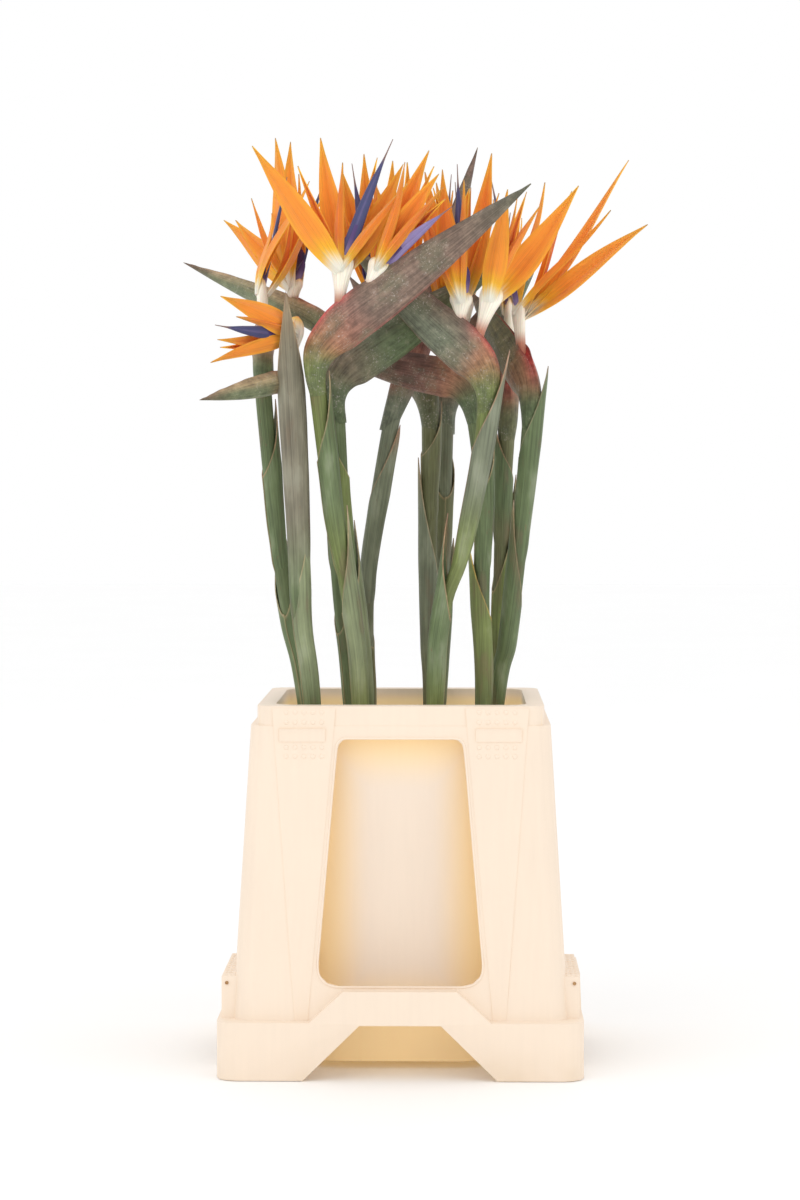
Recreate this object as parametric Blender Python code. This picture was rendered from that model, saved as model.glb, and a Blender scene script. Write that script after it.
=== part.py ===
"""Twelve cut bird of paradise flowers standing in water in a moulded flower crate.

Metres, +Z up. The origin is the middle of the floor under the crate, and the
front of the crate faces -Y. Sizes below are given in millimetres times MM.
"""

import math

import bmesh
import bpy
from mathutils import Vector

MM = 0.001
GAP = 0.3 * MM
UP = Vector((0, 0, 1))
FLAT_ANGLE = 0.1

# Crate: half widths of its square plan, corner radii and heights
# The collar is a little deeper than wide, so that the front and back faces run up to the rim
CRATE_HEIGHT = 283 * MM
COLLAR_FOOT = 268 * MM
COLLAR_HALF = 110 * MM
COLLAR_DEEP = 114.2 * MM
COLLAR_FOOT_DEEP = 114.6 * MM
MOUTH_HALF = 96.5 * MM
MOUTH_RADIUS = 14 * MM
SHOULDER_HALF = 115 * MM
KNEE_HALF = 125 * MM
KNEE_HEIGHT = 104 * MM
SKIRT_HALF = 128 * MM
FOOT_HALF = 140 * MM
FOOT_HEIGHT = 44 * MM
FOOT_RADIUS = 16 * MM
WALL = 3 * MM
BUCKET_FLOOR = 8 * MM
BUCKET_HALF = 80 * MM
BUCKET_RADIUS = 34 * MM
CORNER_STEPS = 3
CORNERS = 4

# Openings and raised parts of each side
# Outlines are (across, height) in mm, and the block's is (outwards, height)
ARCH = ((-74, -1), (74, -1), (74, 0), (31, 42), (-31, 42), (-74, 0))
HOOD = ((-70, 43), (70, 43), (43, 68), (-43, 68))
HOOD_INSIDE = ((-64, 38), (64, 38), (41, 65), (-41, 65))
HOOD_BACK = 124 * MM
ARCH_BACK = 130 * MM
WINDOW_BACK = 104 * MM
WINDOW_TOP = 258 * MM
WINDOW_TOP_HALF = 48 * MM
WINDOW_TOP_RADIUS = 8 * MM
WINDOW_FOOT = 70 * MM
WINDOW_FOOT_HALF = 64 * MM
WINDOW_FOOT_RADIUS = 17 * MM
SIDE_WINDOW_FOOT = 108 * MM
SIDE_WINDOW_FOOT_HALF = 60 * MM
BLOCK = ((125, 43), (137, 43), (137, 76), (125, 76))
BLOCK_FRONT = -115 * MM
BLOCK_BACK = 5 * MM
BAR_CENTRE = 75 * MM
BAR_HALF_LENGTH = 17 * MM
BAR_FOOT = 256.5 * MM
BAR_TOP = 265.5 * MM
BAR_HALF = 116.2 * MM

# Water, and the straight holes that the stems stand in
WATER_TOP = 60 * MM
HOLE_SLACK = 0.6 * MM
HOLE_BELOW = 4 * MM
HOLE_ABOVE = 6 * MM

# Stems
STEM_RADIUS = 5.6 * MM
NECK_RADIUS = 7.8 * MM
STEM_SIDES = 6
FOOT_PULL = 0.74
STRAIGHT_ABOVE_WATER = 10 * MM
SHEATH_RADIUS = 8.8 * MM
SHEATH_SIDES = 7
SHEATH_FREE_FROM = 0.62
SHEATH_SLOPE_SPAN = 20 * MM

# Flower heads
SPATHE_DEPTH = 18 * MM
SPATHE_WIDTH = 10 * MM
LEAST_WIDTH_SHARE = 0.4
BEND_REACH = 18 * MM
BEND_SWELL = 1 * MM
NECK_TAPER = 0.85
CLAW_RADIUS = 5.4 * MM
CLAW_SIDES = 6
CLAW_SINK = 9 * MM
BRIDGE_RISE = 3.5 * MM
BRIDGE_HALF = 2.6 * MM
SEPAL_WIDTH = 10.2 * MM
SEPAL_EDGE = 0.35 * MM
SEPAL_RIB = 0.5 * MM
SEPAL_FOLD = 0.34
SEPAL_ASIDE = 3.1 * MM
SEPAL_SINK = 2.45 * MM

GREEN = (0.16, 0.20, 0.11, 1)
ORANGE = (1.0, 0.33, 0.04, 1)
BLUE = (0.07, 0.07, 0.16, 1)
CREAM = (0.93, 0.83, 0.68, 1)
CLEAR_WATER = (0.75, 0.85, 0.80, 1)


def sepal(lift, splay, length, layer=1, width=1.0):
    """An orange sepal: degrees above the spathe's heading and sideways, and its length in mm."""
    return {"lift": lift, "splay": splay, "length": length, "layer": layer, "width": width}


def floret(along, lean, sepals, petals=None, claw=28):
    """One opened floret: its share of the way along the spathe, its claw's lean and its sepals."""
    return {"along": along, "lean": lean, "sepals": sepals, "petals": petals, "claw": claw}


def flower(route, tip, sheaths, florets, depth=1.0):
    """One cut flower: its stem's points from the crate's mouth to the kink, and its spathe's tip.

    A sheath is (height it starts at, height of its tip, side that its tip lies on, its size): heights
    in mm, the side in degrees anticlockwise from +X.
    """
    return {"route": route, "tip": tip, "sheaths": sheaths, "florets": florets, "depth": depth}


# The flowers, with points in mm
FLOWERS = (
    flower(
        route=((-32, -62, 281), (-40, -65, 355), (-54, -70, 439), (-65, -76, 529), (-68, -76, 556)),
        tip=(99, -112, 680),
        sheaths=((245, 436, -10, 1.0), (380, 540, 0, 1.1)),
        florets=(
            floret(0.15, 86, (sepal(124, -12, 117, -1, 1.1), sepal(100, 1, 105),
                              sepal(61, 6, 95)), petals=(67, -3, 107)),
            floret(0.265, 62, (sepal(68, 7, 101), sepal(57, 1, 88)), petals=(38, -4, 76), claw=16),
        ),
    ),
    flower(
        route=((-69, -72, 281), (-78, -70, 347), (-80, -68, 415), (-84, -66, 500), (-87, -51, 534)),
        tip=(-152, -125, 516),
        sheaths=((245, 446, 10, 1.0), (330, 602, -90, 1.25)),
        florets=(
            floret(0.06, 106, (sepal(21, -8, 79), sepal(-4, -7, 73, -1, 0.62),
                               sepal(-15, -5, 90, width=0.6)),
                   petals=(3, -1, 85), claw=30),
        ),
        depth=0.5,
    ),
    flower(
        route=((-42, 28, 274), (-51, 30, 358), (-56, 32, 438), (-58, 34, 519), (-58, 35, 580)),
        tip=(-185, 125, 637),
        sheaths=((245, 400, 40, 0.95), (380, 560, 0, 1.0)),
        florets=(
            floret(0.26, 95, (sepal(80, -3, 125, width=1.15), sepal(92, 6, 118, -1, 1.15),
                              sepal(45, 6, 81, -1), sepal(37, -5, 98)),
                   petals=(104, -8, 90), claw=10),
        ),
        depth=0.55,
    ),
    flower(
        route=((26, -70, 281), (33, -70, 356), (47, -69, 398), (62, -66, 479), (68, -62, 539)),
        tip=(-42, -48, 638),
        sheaths=((245, 430, 170, 1.0), (385, 556, -5, 1.1)),
        florets=(
            floret(0.15, 108, (sepal(100, 4, 88, 1, 0.95), sepal(127, -6, 114, -1, 1.15)),
                   petals=(103, -2, 70)),
            floret(0.26, 92, (sepal(101, -3, 120, -1), sepal(82, 1, 103)), petals=(88, -3, 108),
                   claw=14),
        ),
    ),
    flower(
        route=((74, -3, 276), (84, -8, 328), (92, -14, 397), (101, -23, 500), (102, -25, 528)),
        tip=(54, 90, 611),
        sheaths=((245, 440, 200, 1.0), (385, 545, -20, 1.05)),
        florets=(
            floret(0.20, 80, (sepal(149, -24, 140, -1), sepal(116, -26, 149, -1), sepal(89, -14, 110)),
                   petals=(84, 10, 114)),
        ),
    ),
    flower(
        route=((64, -35, 279), (63, -28, 363), (64, -18, 438), (58, -10, 500), (50, -8, 533)),
        tip=(-66, 8, 558),
        sheaths=((245, 425, 180, 1.0), (380, 484, 10, 1.0)),
        florets=(
            floret(0.12, 86, (sepal(88, -2, 118, -1), sepal(82, 2, 116), sepal(100, -1, 104, -1)),
                   petals=(92, -1, 112), claw=36),
        ),
        depth=0.85,
    ),
    flower(
        route=((-29, -25, 278), (-38, -26, 360), (-47, -28, 431), (-52, -33, 512), (-56, -34, 535)),
        tip=(81, -15, 628),
        sheaths=((245, 424, 20, 1.0), (385, 512, 190, 1.0)),
        florets=(
            floret(0.24, 76, (sepal(105, 3, 105), sepal(95, 0, 114), sepal(84, -3, 108, -1)),
                   petals=(101, -1, 106)),
        ),
    ),
    flower(
        route=((-29, 55, 272), (-30, 50, 359), (-24, 44, 420), (-8, 29, 510), (-1, 25, 529)),
        tip=(60, 95, 729),
        sheaths=((245, 378, 150, 1.0), (350, 500, -30, 1.0)),
        florets=(
            floret(0.20, 95, (sepal(88, 2, 106), sepal(112, 6, 94, -1), sepal(128, -6, 96)),
                   petals=(99, 3, 90)),
        ),
        depth=0.85,
    ),
    flower(
        route=((22, 48, 273), (21, 50, 324), (21, 54, 403), (21, 61, 501), (19, 62, 530)),
        tip=(-47, 132, 626),
        sheaths=((245, 474, 200, 1.0), (420, 520, 20, 1.0)),
        florets=(
            floret(0.26, 84, (sepal(104, 6, 104), sepal(76, 14, 108, -1), sepal(88, -4, 106)),
                   petals=(88, -2, 100)),
        ),
    ),
    flower(
        route=((28, 76, 271), (30, 82, 339), (32, 90, 421), (34, 98, 512), (33, 98, 529)),
        tip=(117, 134, 653),
        sheaths=((245, 408, 30, 1.0), (360, 505, 100, 1.0)),
        florets=(
            floret(0.26, 88, (sepal(100, 8, 104), sepal(84, -12, 108, -1), sepal(114, -6, 100)),
                   petals=(94, 2, 100)),
        ),
    ),
    flower(
        route=((74, 28, 274), (78, 34, 360), (80, 38, 430), (83, 42, 487), (85, 45, 520)),
        tip=(88, 118, 655),
        sheaths=((245, 460, 20, 1.0), (400, 500, 200, 1.0)),
        florets=(
            floret(0.24, 84, (sepal(100, -6, 96), sepal(80, 10, 98, -1), sepal(66, -8, 90)),
                   petals=(90, 1, 92)),
        ),
        depth=0.9,
    ),
    flower(
        route=((-77, -8, 277), (-90, -8, 343), (-100, -8, 415), (-110, -8, 519), (-111, -8, 557)),
        tip=(-120, 125, 593),
        sheaths=((245, 430, 60, 1.0), (380, 520, 20, 1.0)),
        florets=(
            floret(0.20, 88, (sepal(102, -24, 100), sepal(78, -30, 104, -1), sepal(58, -8, 82)),
                   petals=(86, -12, 96)),
        ),
        depth=0.8,
    ),
)


def material(name, colour, roughness, metallic=0.0):
    found = bpy.data.materials.new(name)
    found.use_nodes = True
    shader = found.node_tree.nodes["Principled BSDF"]
    shader.inputs["Base Color"].default_value = colour
    shader.inputs["Roughness"].default_value = roughness
    shader.inputs["Metallic"].default_value = metallic
    return found


def clear_scene():
    for thing in list(bpy.data.objects):
        bpy.data.objects.remove(thing)


def link(name, mesh, finish=None):
    thing = bpy.data.objects.new(name, mesh)
    bpy.context.scene.collection.objects.link(thing)
    if finish:
        mesh.materials.clear()
        mesh.materials.append(finish)
    return thing


def loft(name, rings, finish=None):
    """A closed solid through rings of equally many points, with flat or pointed ends, all triangles."""
    shape = bmesh.new()
    rows = [[shape.verts.new(point) for point in ring] for ring in rings]
    count = len(rows[0])
    for low, high in zip(rows, rows[1:]):
        for i in range(count):
            j = (i + 1) % count
            shape.faces.new((low[i], low[j], high[j]))
            shape.faces.new((low[i], high[j], high[i]))
    shape.faces.new(rows[0][::-1])
    shape.faces.new(rows[-1])
    bmesh.ops.triangulate(shape, faces=shape.faces)
    bmesh.ops.recalc_face_normals(shape, faces=shape.faces)
    mesh = bpy.data.meshes.new(name)
    shape.to_mesh(mesh)
    shape.free()
    return link(name, mesh, finish)


def combine(base, others, operation, solver="MANIFOLD"):
    """Joins the other objects to base, or cuts them from it, in one Boolean, and removes them."""
    group = bpy.data.collections.new("cutters")
    bpy.context.scene.collection.children.link(group)
    for other in others:
        bpy.context.scene.collection.objects.unlink(other)
        group.objects.link(other)
    step = base.modifiers.new("combine", "BOOLEAN")
    step.operation = operation
    step.operand_type = "COLLECTION"
    step.collection = group
    step.solver = solver
    graph = bpy.context.evaluated_depsgraph_get()
    joined = bpy.data.meshes.new_from_object(base.evaluated_get(graph))
    base.modifiers.clear()
    finish = base.data.materials[0] if base.data.materials else None
    base.data = joined
    joined.name = base.name
    joined.materials.clear()
    if finish:
        joined.materials.append(finish)
    for other in others:
        bpy.data.objects.remove(other)
    bpy.data.collections.remove(group)
    tidy(base)
    return base


def body_of(first):
    """The vertices joined to one by edges."""
    found = {first}
    waiting = [first]
    while waiting:
        for edge in waiting.pop().link_edges:
            for vert in edge.verts:
                if vert not in found:
                    found.add(vert)
                    waiting.append(vert)
    return found


def tidy(thing):
    """Drops loose scrap, joins slivers of one flat face and splits the faces into triangles again."""
    shape = bmesh.new()
    shape.from_mesh(thing.data)
    bodies = []
    left_over = set(shape.verts)
    while left_over:
        bodies.append(body_of(next(iter(left_over))))
        left_over -= bodies[-1]
    main_body = max(bodies, key=len)
    scrap = [vert for vert in shape.verts if vert not in main_body]
    bmesh.ops.delete(shape, geom=scrap, context="VERTS")
    flat = math.radians(FLAT_ANGLE)
    bmesh.ops.dissolve_limit(shape, angle_limit=flat, verts=shape.verts, edges=shape.edges)
    bmesh.ops.triangulate(shape, faces=shape.faces)
    shape.to_mesh(thing.data)
    shape.free()


# Crate


def square_ring(half, radius, height, deep=None):
    """A square, or a rectangle, with rounded corners, seen from above, anticlockwise."""
    deep = deep or half
    ring = []
    for corner in range(CORNERS):
        middle = math.radians(45 + 90 * corner)
        across = math.copysign(half - radius, math.cos(middle))
        centre = Vector((across, math.copysign(deep - radius, math.sin(middle)), height))
        for step in range(CORNER_STEPS + 1):
            turn = math.radians(90 * corner + 90 * step / CORNER_STEPS)
            ring.append(centre + radius * Vector((math.cos(turn), math.sin(turn), 0)))
    return ring


def prism(name, outline, near, far, turns):
    """An outline of (across, height) drawn out from near to far in front, then turned by quarters."""
    rings = []
    for depth in (near, far):
        ring = []
        for across, height in outline:
            point = Vector((across, -depth, height))
            for _ in range(turns):
                point = Vector((-point.y, point.x, point.z))
            ring.append(point)
        rings.append(ring)
    return loft(name, rings)


def in_mm(outline):
    return [(across * MM, height * MM) for across, height in outline]


def rounded_window(foot, foot_half):
    """A tall window, wider at its foot, with round corners."""
    corners = (
        (foot_half, foot, WINDOW_FOOT_RADIUS, -90),
        (WINDOW_TOP_HALF, WINDOW_TOP, WINDOW_TOP_RADIUS, 0),
        (-WINDOW_TOP_HALF, WINDOW_TOP, WINDOW_TOP_RADIUS, 90),
        (-foot_half, foot, WINDOW_FOOT_RADIUS, 180),
    )
    outline = []
    for across, height, radius, start in corners:
        centre_x = across - math.copysign(radius, across)
        centre_z = height + (radius if height == foot else -radius)
        for step in range(CORNER_STEPS + 1):
            turn = math.radians(start + 90 * step / CORNER_STEPS)
            outline.append((centre_x + radius * math.cos(turn), centre_z + radius * math.sin(turn)))
    return outline


def shoulder_block(side):
    rings = []
    for along in (BLOCK_FRONT, BLOCK_BACK):
        rings.append([Vector((side * across, along, height)) for across, height in in_mm(BLOCK)])
    return loft("block", rings)


def make_crate():
    rings = (
        (BUCKET_HALF, BUCKET_RADIUS, BUCKET_FLOOR),
        (MOUTH_HALF, MOUTH_RADIUS, CRATE_HEIGHT),
        (COLLAR_HALF, MOUTH_RADIUS, CRATE_HEIGHT, COLLAR_DEEP),
        (COLLAR_HALF, MOUTH_RADIUS, COLLAR_FOOT, COLLAR_FOOT_DEEP),
        (SHOULDER_HALF, FOOT_RADIUS, COLLAR_FOOT),
        (KNEE_HALF, FOOT_RADIUS, KNEE_HEIGHT),
        (SKIRT_HALF, FOOT_RADIUS, FOOT_HEIGHT),
        (FOOT_HALF, FOOT_RADIUS, FOOT_HEIGHT),
        (FOOT_HALF, FOOT_RADIUS, 0),
        (FOOT_HALF - WALL, FOOT_RADIUS - WALL, 0),
        (FOOT_HALF - WALL, FOOT_RADIUS - WALL, FOOT_HEIGHT - WALL),
        (SKIRT_HALF - WALL, FOOT_RADIUS - WALL, FOOT_HEIGHT - WALL),
        (KNEE_HALF - WALL, FOOT_RADIUS - WALL, KNEE_HEIGHT),
        (SHOULDER_HALF - WALL, FOOT_RADIUS - WALL, COLLAR_FOOT - WALL),
        (MOUTH_HALF + WALL, MOUTH_RADIUS + WALL, COLLAR_FOOT - WALL),
        (BUCKET_HALF + WALL, BUCKET_RADIUS + WALL, BUCKET_FLOOR - WALL),
    )
    plastic = material("crate plastic", CREAM, 0.45)
    crate = loft("crate", [square_ring(*ring) for ring in rings], plastic)
    added = [shoulder_block(side) for side in (-1, 1)]
    cut = []
    for turns in range(CORNERS):
        added.append(prism("hood", in_mm(HOOD), HOOD_BACK, FOOT_HALF, turns))
        cut.append(prism("hood inside", in_mm(HOOD_INSIDE), SKIRT_HALF, FOOT_HALF - WALL, turns))
        cut.append(prism("arch", in_mm(ARCH), ARCH_BACK, FOOT_HALF + WALL, turns))
        if turns % 2:
            window = rounded_window(SIDE_WINDOW_FOOT, SIDE_WINDOW_FOOT_HALF)
        else:
            window = rounded_window(WINDOW_FOOT, WINDOW_FOOT_HALF)
            for side in (-1, 1):
                start = side * BAR_CENTRE
                bar = (
                    (start - BAR_HALF_LENGTH, BAR_FOOT),
                    (start + BAR_HALF_LENGTH, BAR_FOOT),
                    (start + BAR_HALF_LENGTH, BAR_TOP),
                    (start - BAR_HALF_LENGTH, BAR_TOP),
                )
                added.append(prism("bar", bar, SHOULDER_HALF - WALL, BAR_HALF, turns))
        cut.append(prism("window", window, WINDOW_BACK, FOOT_HALF + WALL, turns))
    combine(crate, added, "UNION", "EXACT")
    combine(crate, cut, "DIFFERENCE", "EXACT")
    return crate


def make_water(holes):
    share = (WATER_TOP - BUCKET_FLOOR) / (CRATE_HEIGHT - BUCKET_FLOOR)
    top_half = BUCKET_HALF + (MOUTH_HALF - BUCKET_HALF) * share - GAP
    top_radius = BUCKET_RADIUS + (MOUTH_RADIUS - BUCKET_RADIUS) * share - GAP
    rings = (
        square_ring(BUCKET_HALF - GAP, BUCKET_RADIUS - GAP, BUCKET_FLOOR + GAP),
        square_ring(top_half, top_radius, WATER_TOP),
    )
    water = loft("water", rings, material("water", CLEAR_WATER, 0.05))
    return combine(water, holes, "DIFFERENCE")


# Stems


def at_height(route, height):
    """The point of a rising route at a height."""
    for low, high in zip(route, route[1:]):
        if low.z <= height <= high.z:
            return low.lerp(high, (height - low.z) / (high.z - low.z))
    return route[-1] if height > route[-1].z else route[0]


def turns_of(sides):
    return [2 * math.pi * i / sides for i in range(sides)]


def flat_ring(centre, radius, sides):
    """A level ring of points round a nearly upright stem."""
    return [centre + radius * Vector((math.cos(t), math.sin(t), 0)) for t in turns_of(sides)]


def stem_points(spec):
    """The stem's own middle line, in metres, from its cut end up to the kink."""
    mouth = Vector(spec["route"][0]) * MM
    foot = Vector((mouth.x * FOOT_PULL, mouth.y * FOOT_PULL, BUCKET_FLOOR + GAP))
    straight = foot.lerp(mouth, (WATER_TOP + STRAIGHT_ABOVE_WATER) / mouth.z)
    return [foot, straight] + [Vector(point) * MM for point in spec["route"]]


def stem_tube(spec):
    points = stem_points(spec)
    rings = []
    for index, point in enumerate(points):
        radius = STEM_RADIUS + (NECK_RADIUS - STEM_RADIUS) * index / (len(points) - 1)
        rings.append(flat_ring(point, radius, STEM_SIDES))
    return loft("tube", rings)


def stem_hole(spec):
    """A straight cutter round the stem's foot, from below the water to above it."""
    foot, straight = stem_points(spec)[:2]
    slope = (straight - foot) / (straight.z - foot.z)
    low = foot - slope * HOLE_BELOW
    high = foot + slope * (WATER_TOP + HOLE_ABOVE - foot.z)
    radius = STEM_RADIUS + HOLE_SLACK
    return loft("hole", [flat_ring(point, radius, STEM_SIDES) for point in (low, high)])


# A sheath's rings: share of its length, half width round the stem and outwards, and how far out
# its middle lies, all three as shares of its radius
SHEATH_SHAPE = (
    (0.0, 0.58, 0.58, 0.0),
    (0.62, 1.0, 1.0, 0.0),
    (0.79, 0.76, 0.42, 0.55),
    (0.92, 0.38, 0.15, 0.95),
    (1.0, 0.05, 0.05, 1.10),
)


def sheath_piece(spec, start, tip, side, size):
    """A leaf sheath wrapped round the stem, which ends in a blade that stands free on one side."""
    route = stem_points(spec)
    turn = math.radians(side)
    aside = Vector((math.cos(turn), math.sin(turn), 0))
    along = UP.cross(aside)
    radius = SHEATH_RADIUS * size
    free_height = (start + (tip - start) * SHEATH_FREE_FROM) * MM
    free = at_height(route, free_height)
    slope = (free - at_height(route, free_height - SHEATH_SLOPE_SPAN)) / SHEATH_SLOPE_SPAN
    rings = []
    for share, round_it, outwards, over in SHEATH_SHAPE:
        height = (start + (tip - start) * share) * MM
        centre = free + slope * (height - free_height)
        if share < SHEATH_FREE_FROM:
            centre = at_height(route, height)
        centre += aside * radius * over
        rings.append([
            centre + radius * (outwards * math.cos(t) * aside + round_it * math.sin(t) * along)
            for t in turns_of(SHEATH_SIDES)
        ])
    return loft("sheath", rings)


# Flower heads


def heading_of(spec):
    """Unit vectors of a flower's own frame: along its heading, and to its left seen from above."""
    kink = Vector(spec["route"][-1])
    flat = Vector(spec["tip"]) - kink
    flat.z = 0
    flat.normalize()
    return flat, UP.cross(flat)


def towards(spec, lift, splay):
    """The direction that is lift degrees above the heading and splay degrees to its left."""
    ahead, left = heading_of(spec)
    lift = math.radians(lift)
    splay = math.radians(splay)
    in_plane = math.cos(lift) * ahead + math.sin(lift) * UP
    return math.cos(splay) * in_plane + math.sin(splay) * left


# Where each of the spathe's rings lies on its length, half its depth and half its width
SPATHE_SHAPE = (
    (0.15, 1.00, 1.08),
    (0.34, 0.97, 1.00),
    (0.55, 0.78, 0.80),
    (0.76, 0.47, 0.52),
    (0.91, 0.19, 0.24),
    (1.00, 0.03, 0.06),
)
# Round the spathe from its lips: share of its half width and of its half depth
SPATHE_SECTION = (
    (0.0, 1.0), (0.60, 0.64), (1.0, 0.0), (0.66, -0.66),
    (0.0, -1.0), (-0.66, -0.66), (-1.0, 0.0), (-0.60, 0.64),
)


def spathe_frame(spec):
    """The kink, the spathe's direction and length, the way to its lips and the way to its left."""
    kink = Vector(spec["route"][-1]) * MM
    reach = Vector(spec["tip"]) * MM - kink
    direction = reach.normalized()
    left = heading_of(spec)[1]
    lips = direction.cross(left)
    return kink, direction, reach.length, lips * (1 if lips.z > 0 else -1), left


def spathe_piece(spec, name, finish):
    """The beak, with the bent neck that joins it to the stem."""
    kink, direction, length, lips, left = spathe_frame(spec)
    depth = SPATHE_DEPTH * spec["depth"]
    width = SPATHE_WIDTH * (LEAST_WIDTH_SHARE + (1 - LEAST_WIDTH_SHARE) * spec["depth"])
    neck = (kink - Vector(spec["route"][-2]) * MM).normalized()
    behind = left.cross(neck)
    behind *= 1 if behind.dot(direction) < 0 else -1
    low = kink - neck * BEND_REACH
    first = kink + direction * length * SPATHE_SHAPE[0][0]
    middle = (low + 2 * kink + first) / 4
    half_way = (behind + lips).normalized()
    stations = [
        (low - neck * BEND_REACH, behind, NECK_TAPER * NECK_RADIUS, NECK_TAPER * NECK_RADIUS),
        (low, behind, NECK_RADIUS + BEND_SWELL / 2, NECK_RADIUS + BEND_SWELL),
        (middle, half_way, (NECK_RADIUS + width) / 2, (NECK_RADIUS + depth) / 2 + BEND_SWELL),
    ]
    for share, deep, wide in SPATHE_SHAPE:
        stations.append((kink + direction * length * share, lips, wide * width, deep * depth))
    rings = [[centre + a * half_width * left + b * half_depth * across for a, b in SPATHE_SECTION]
             for centre, across, half_width, half_depth in stations]
    return loft(name, rings, finish)


def claw_ends(spec, bud):
    """Where a floret's claw leaves the spathe and where it ends, on the spathe's lips."""
    kink, direction, length, lips, _ = spathe_frame(spec)
    depth = SPATHE_DEPTH * spec["depth"]
    foot = kink + direction * length * bud["along"] + lips * (depth - CLAW_SINK)
    lean = towards(spec, bud["lean"], 0)
    return foot, foot + lean * (bud["claw"] * MM + CLAW_SINK), lean


# Along a claw: share of its length, and of its radius in the flower's plane and across it
CLAW_SHAPE = ((0.0, 0.85, 0.80), (0.5, 0.85, 0.80), (1.0, 1.45, 1.15))


def claw_piece(spec, bud, grow=0.0):
    """A floret's claw, or its socket in the spathe where it grows by a gap."""
    foot, top, lean = claw_ends(spec, bud)
    left = heading_of(spec)[1]
    across = lean.cross(left)
    rings = []
    for share, wide, thick in CLAW_SHAPE:
        middle = foot.lerp(top, share) - (lean * grow if share == 0 else Vector())
        a = CLAW_RADIUS * wide + grow
        b = CLAW_RADIUS * thick + grow
        rings.append([
            middle + a * math.cos(t) * across + b * math.sin(t) * left
            for t in turns_of(CLAW_SIDES)
        ])
    return loft("claw", rings)


# Along a sepal: share of its length, and of its width
SEPAL_SHAPE = ((0.0, 0.36), (0.24, 0.84), (0.48, 1.0), (0.76, 0.58), (1.0, 0.04))
# Petals joined in an arrow: share of its length, half width and half thickness in mm
PETAL_SHAPE = (
    (0.0, 2.2, 1.5),
    (0.24, 2.2, 1.5),
    (0.27, 6.2, 1.2),
    (0.42, 5.2, 1.9),
    (0.66, 3.4, 1.5),
    (0.80, 1.0, 0.7),
    (1.0, 0.5, 0.5),
)


def sepal_piece(spec, bud, leaf):
    """A keeled blade from the claw's end to a point, thick along its rib and thin at its edges."""
    _, top, lean = claw_ends(spec, bud)
    left = heading_of(spec)[1]
    layer = leaf["layer"]
    direction = towards(spec, leaf["lift"], leaf["splay"])
    across = direction.cross(left).normalized()
    face = across.cross(direction).normalized() * layer
    face *= 1 if face.dot(left) * layer > 0 else -1
    start = top + left * layer * SEPAL_ASIDE - lean * SEPAL_SINK
    width = SEPAL_WIDTH * leaf["width"]
    rings = []
    for share, wide in SEPAL_SHAPE:
        middle = start + direction * leaf["length"] * MM * share
        half = width * wide
        fold = SEPAL_FOLD * half
        rib = SEPAL_EDGE + SEPAL_RIB * wide
        edge = SEPAL_EDGE if share < 1 else 0.5 * SEPAL_EDGE
        rings.append([
            middle + a * across + b * face
            for a, b in (
                (-half, -edge), (0, fold - rib), (half, -edge),
                (half, edge), (0, fold + rib), (-half, edge),
            )
        ])
    return loft("sepal", rings)


def petal_piece(spec, bud, name, finish=None, grow=0.0):
    _, top, lean = claw_ends(spec, bud)
    lift, splay, length = bud["petals"]
    left = heading_of(spec)[1]
    direction = towards(spec, lift, splay)
    rings = []
    for share, half_width, half_thickness in PETAL_SHAPE:
        forward = (lean + direction).normalized() if share == 0 else direction
        across = forward.cross(left).normalized()
        face = across.cross(forward).normalized()
        base = top + lean * (GAP - (grow if share == 0 else 0))
        middle = base + direction * length * MM * share
        a = half_width * MM + grow
        b = half_thickness * MM + grow
        rings.append([middle + a * across, middle + b * face, middle - a * across, middle - b * face])
    return loft(name, rings, finish)


def make_flower(number, spec, finishes):
    green, orange, blue = finishes
    name = f"{number:02d}"
    stem = spathe_piece(spec, f"stem_{name}", green)
    pieces = [stem_tube(spec)]
    pieces += [sheath_piece(spec, *sheath) for sheath in spec["sheaths"]]
    combine(stem, pieces, "UNION")
    combine(stem, [claw_piece(spec, bud, GAP) for bud in spec["florets"]], "DIFFERENCE")

    first = spec["florets"][0]
    sepals = claw_piece(spec, first)
    sepals.name = f"sepals_{name}"
    sepals.data.materials.append(orange)
    blades = [sepal_piece(spec, bud, leaf) for bud in spec["florets"] for leaf in bud["sepals"]]
    blades += [claw_piece(spec, bud) for bud in spec["florets"][1:]]
    if len(spec["florets"]) > 1:
        blades.append(claw_bridge(spec))
        combine(stem, [claw_bridge(spec, GAP)], "DIFFERENCE")
    combine(sepals, blades, "UNION")

    for index, bud in enumerate(spec["florets"]):
        suffix = "" if index == 0 else "_second"
        petal_piece(spec, bud, f"petals_{name}{suffix}", blue)
    combine(sepals, [petal_piece(spec, bud, "cutter", grow=GAP) for bud in spec["florets"]],
            "DIFFERENCE")


def claw_bridge(spec, grow=0.0):
    """What joins two florets' claws inside the spathe, where the spathe holds them both."""
    first, second = spec["florets"]
    left = heading_of(spec)[1]
    lips = spathe_frame(spec)[3]
    rings = []
    for bud in (first, second):
        foot = claw_ends(spec, bud)[0] + lips * BRIDGE_RISE
        half = BRIDGE_HALF + grow
        rings.append([
            foot + a * half * left + b * half * lips
            for a, b in ((-1, -1), (1, -1), (1, 1), (-1, 1))
        ])
    return loft("bridge", rings)


def main():
    clear_scene()
    make_crate()
    finishes = (
        material("stem green", GREEN, 0.55),
        material("sepal orange", ORANGE, 0.5),
        material("petal blue", BLUE, 0.5),
    )
    for number, spec in enumerate(FLOWERS, 1):
        make_flower(number, spec, finishes)
    make_water([stem_hole(spec) for spec in FLOWERS])


main()
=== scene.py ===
"""Twelve cut bird of paradise flowers in a moulded flower crate, with their finished look.

Metres, +Z up, the crate's front faces -Y and the origin is on the floor under its middle.
The flowers' points are written in millimetres and multiplied by MM.
"""

import math

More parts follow.
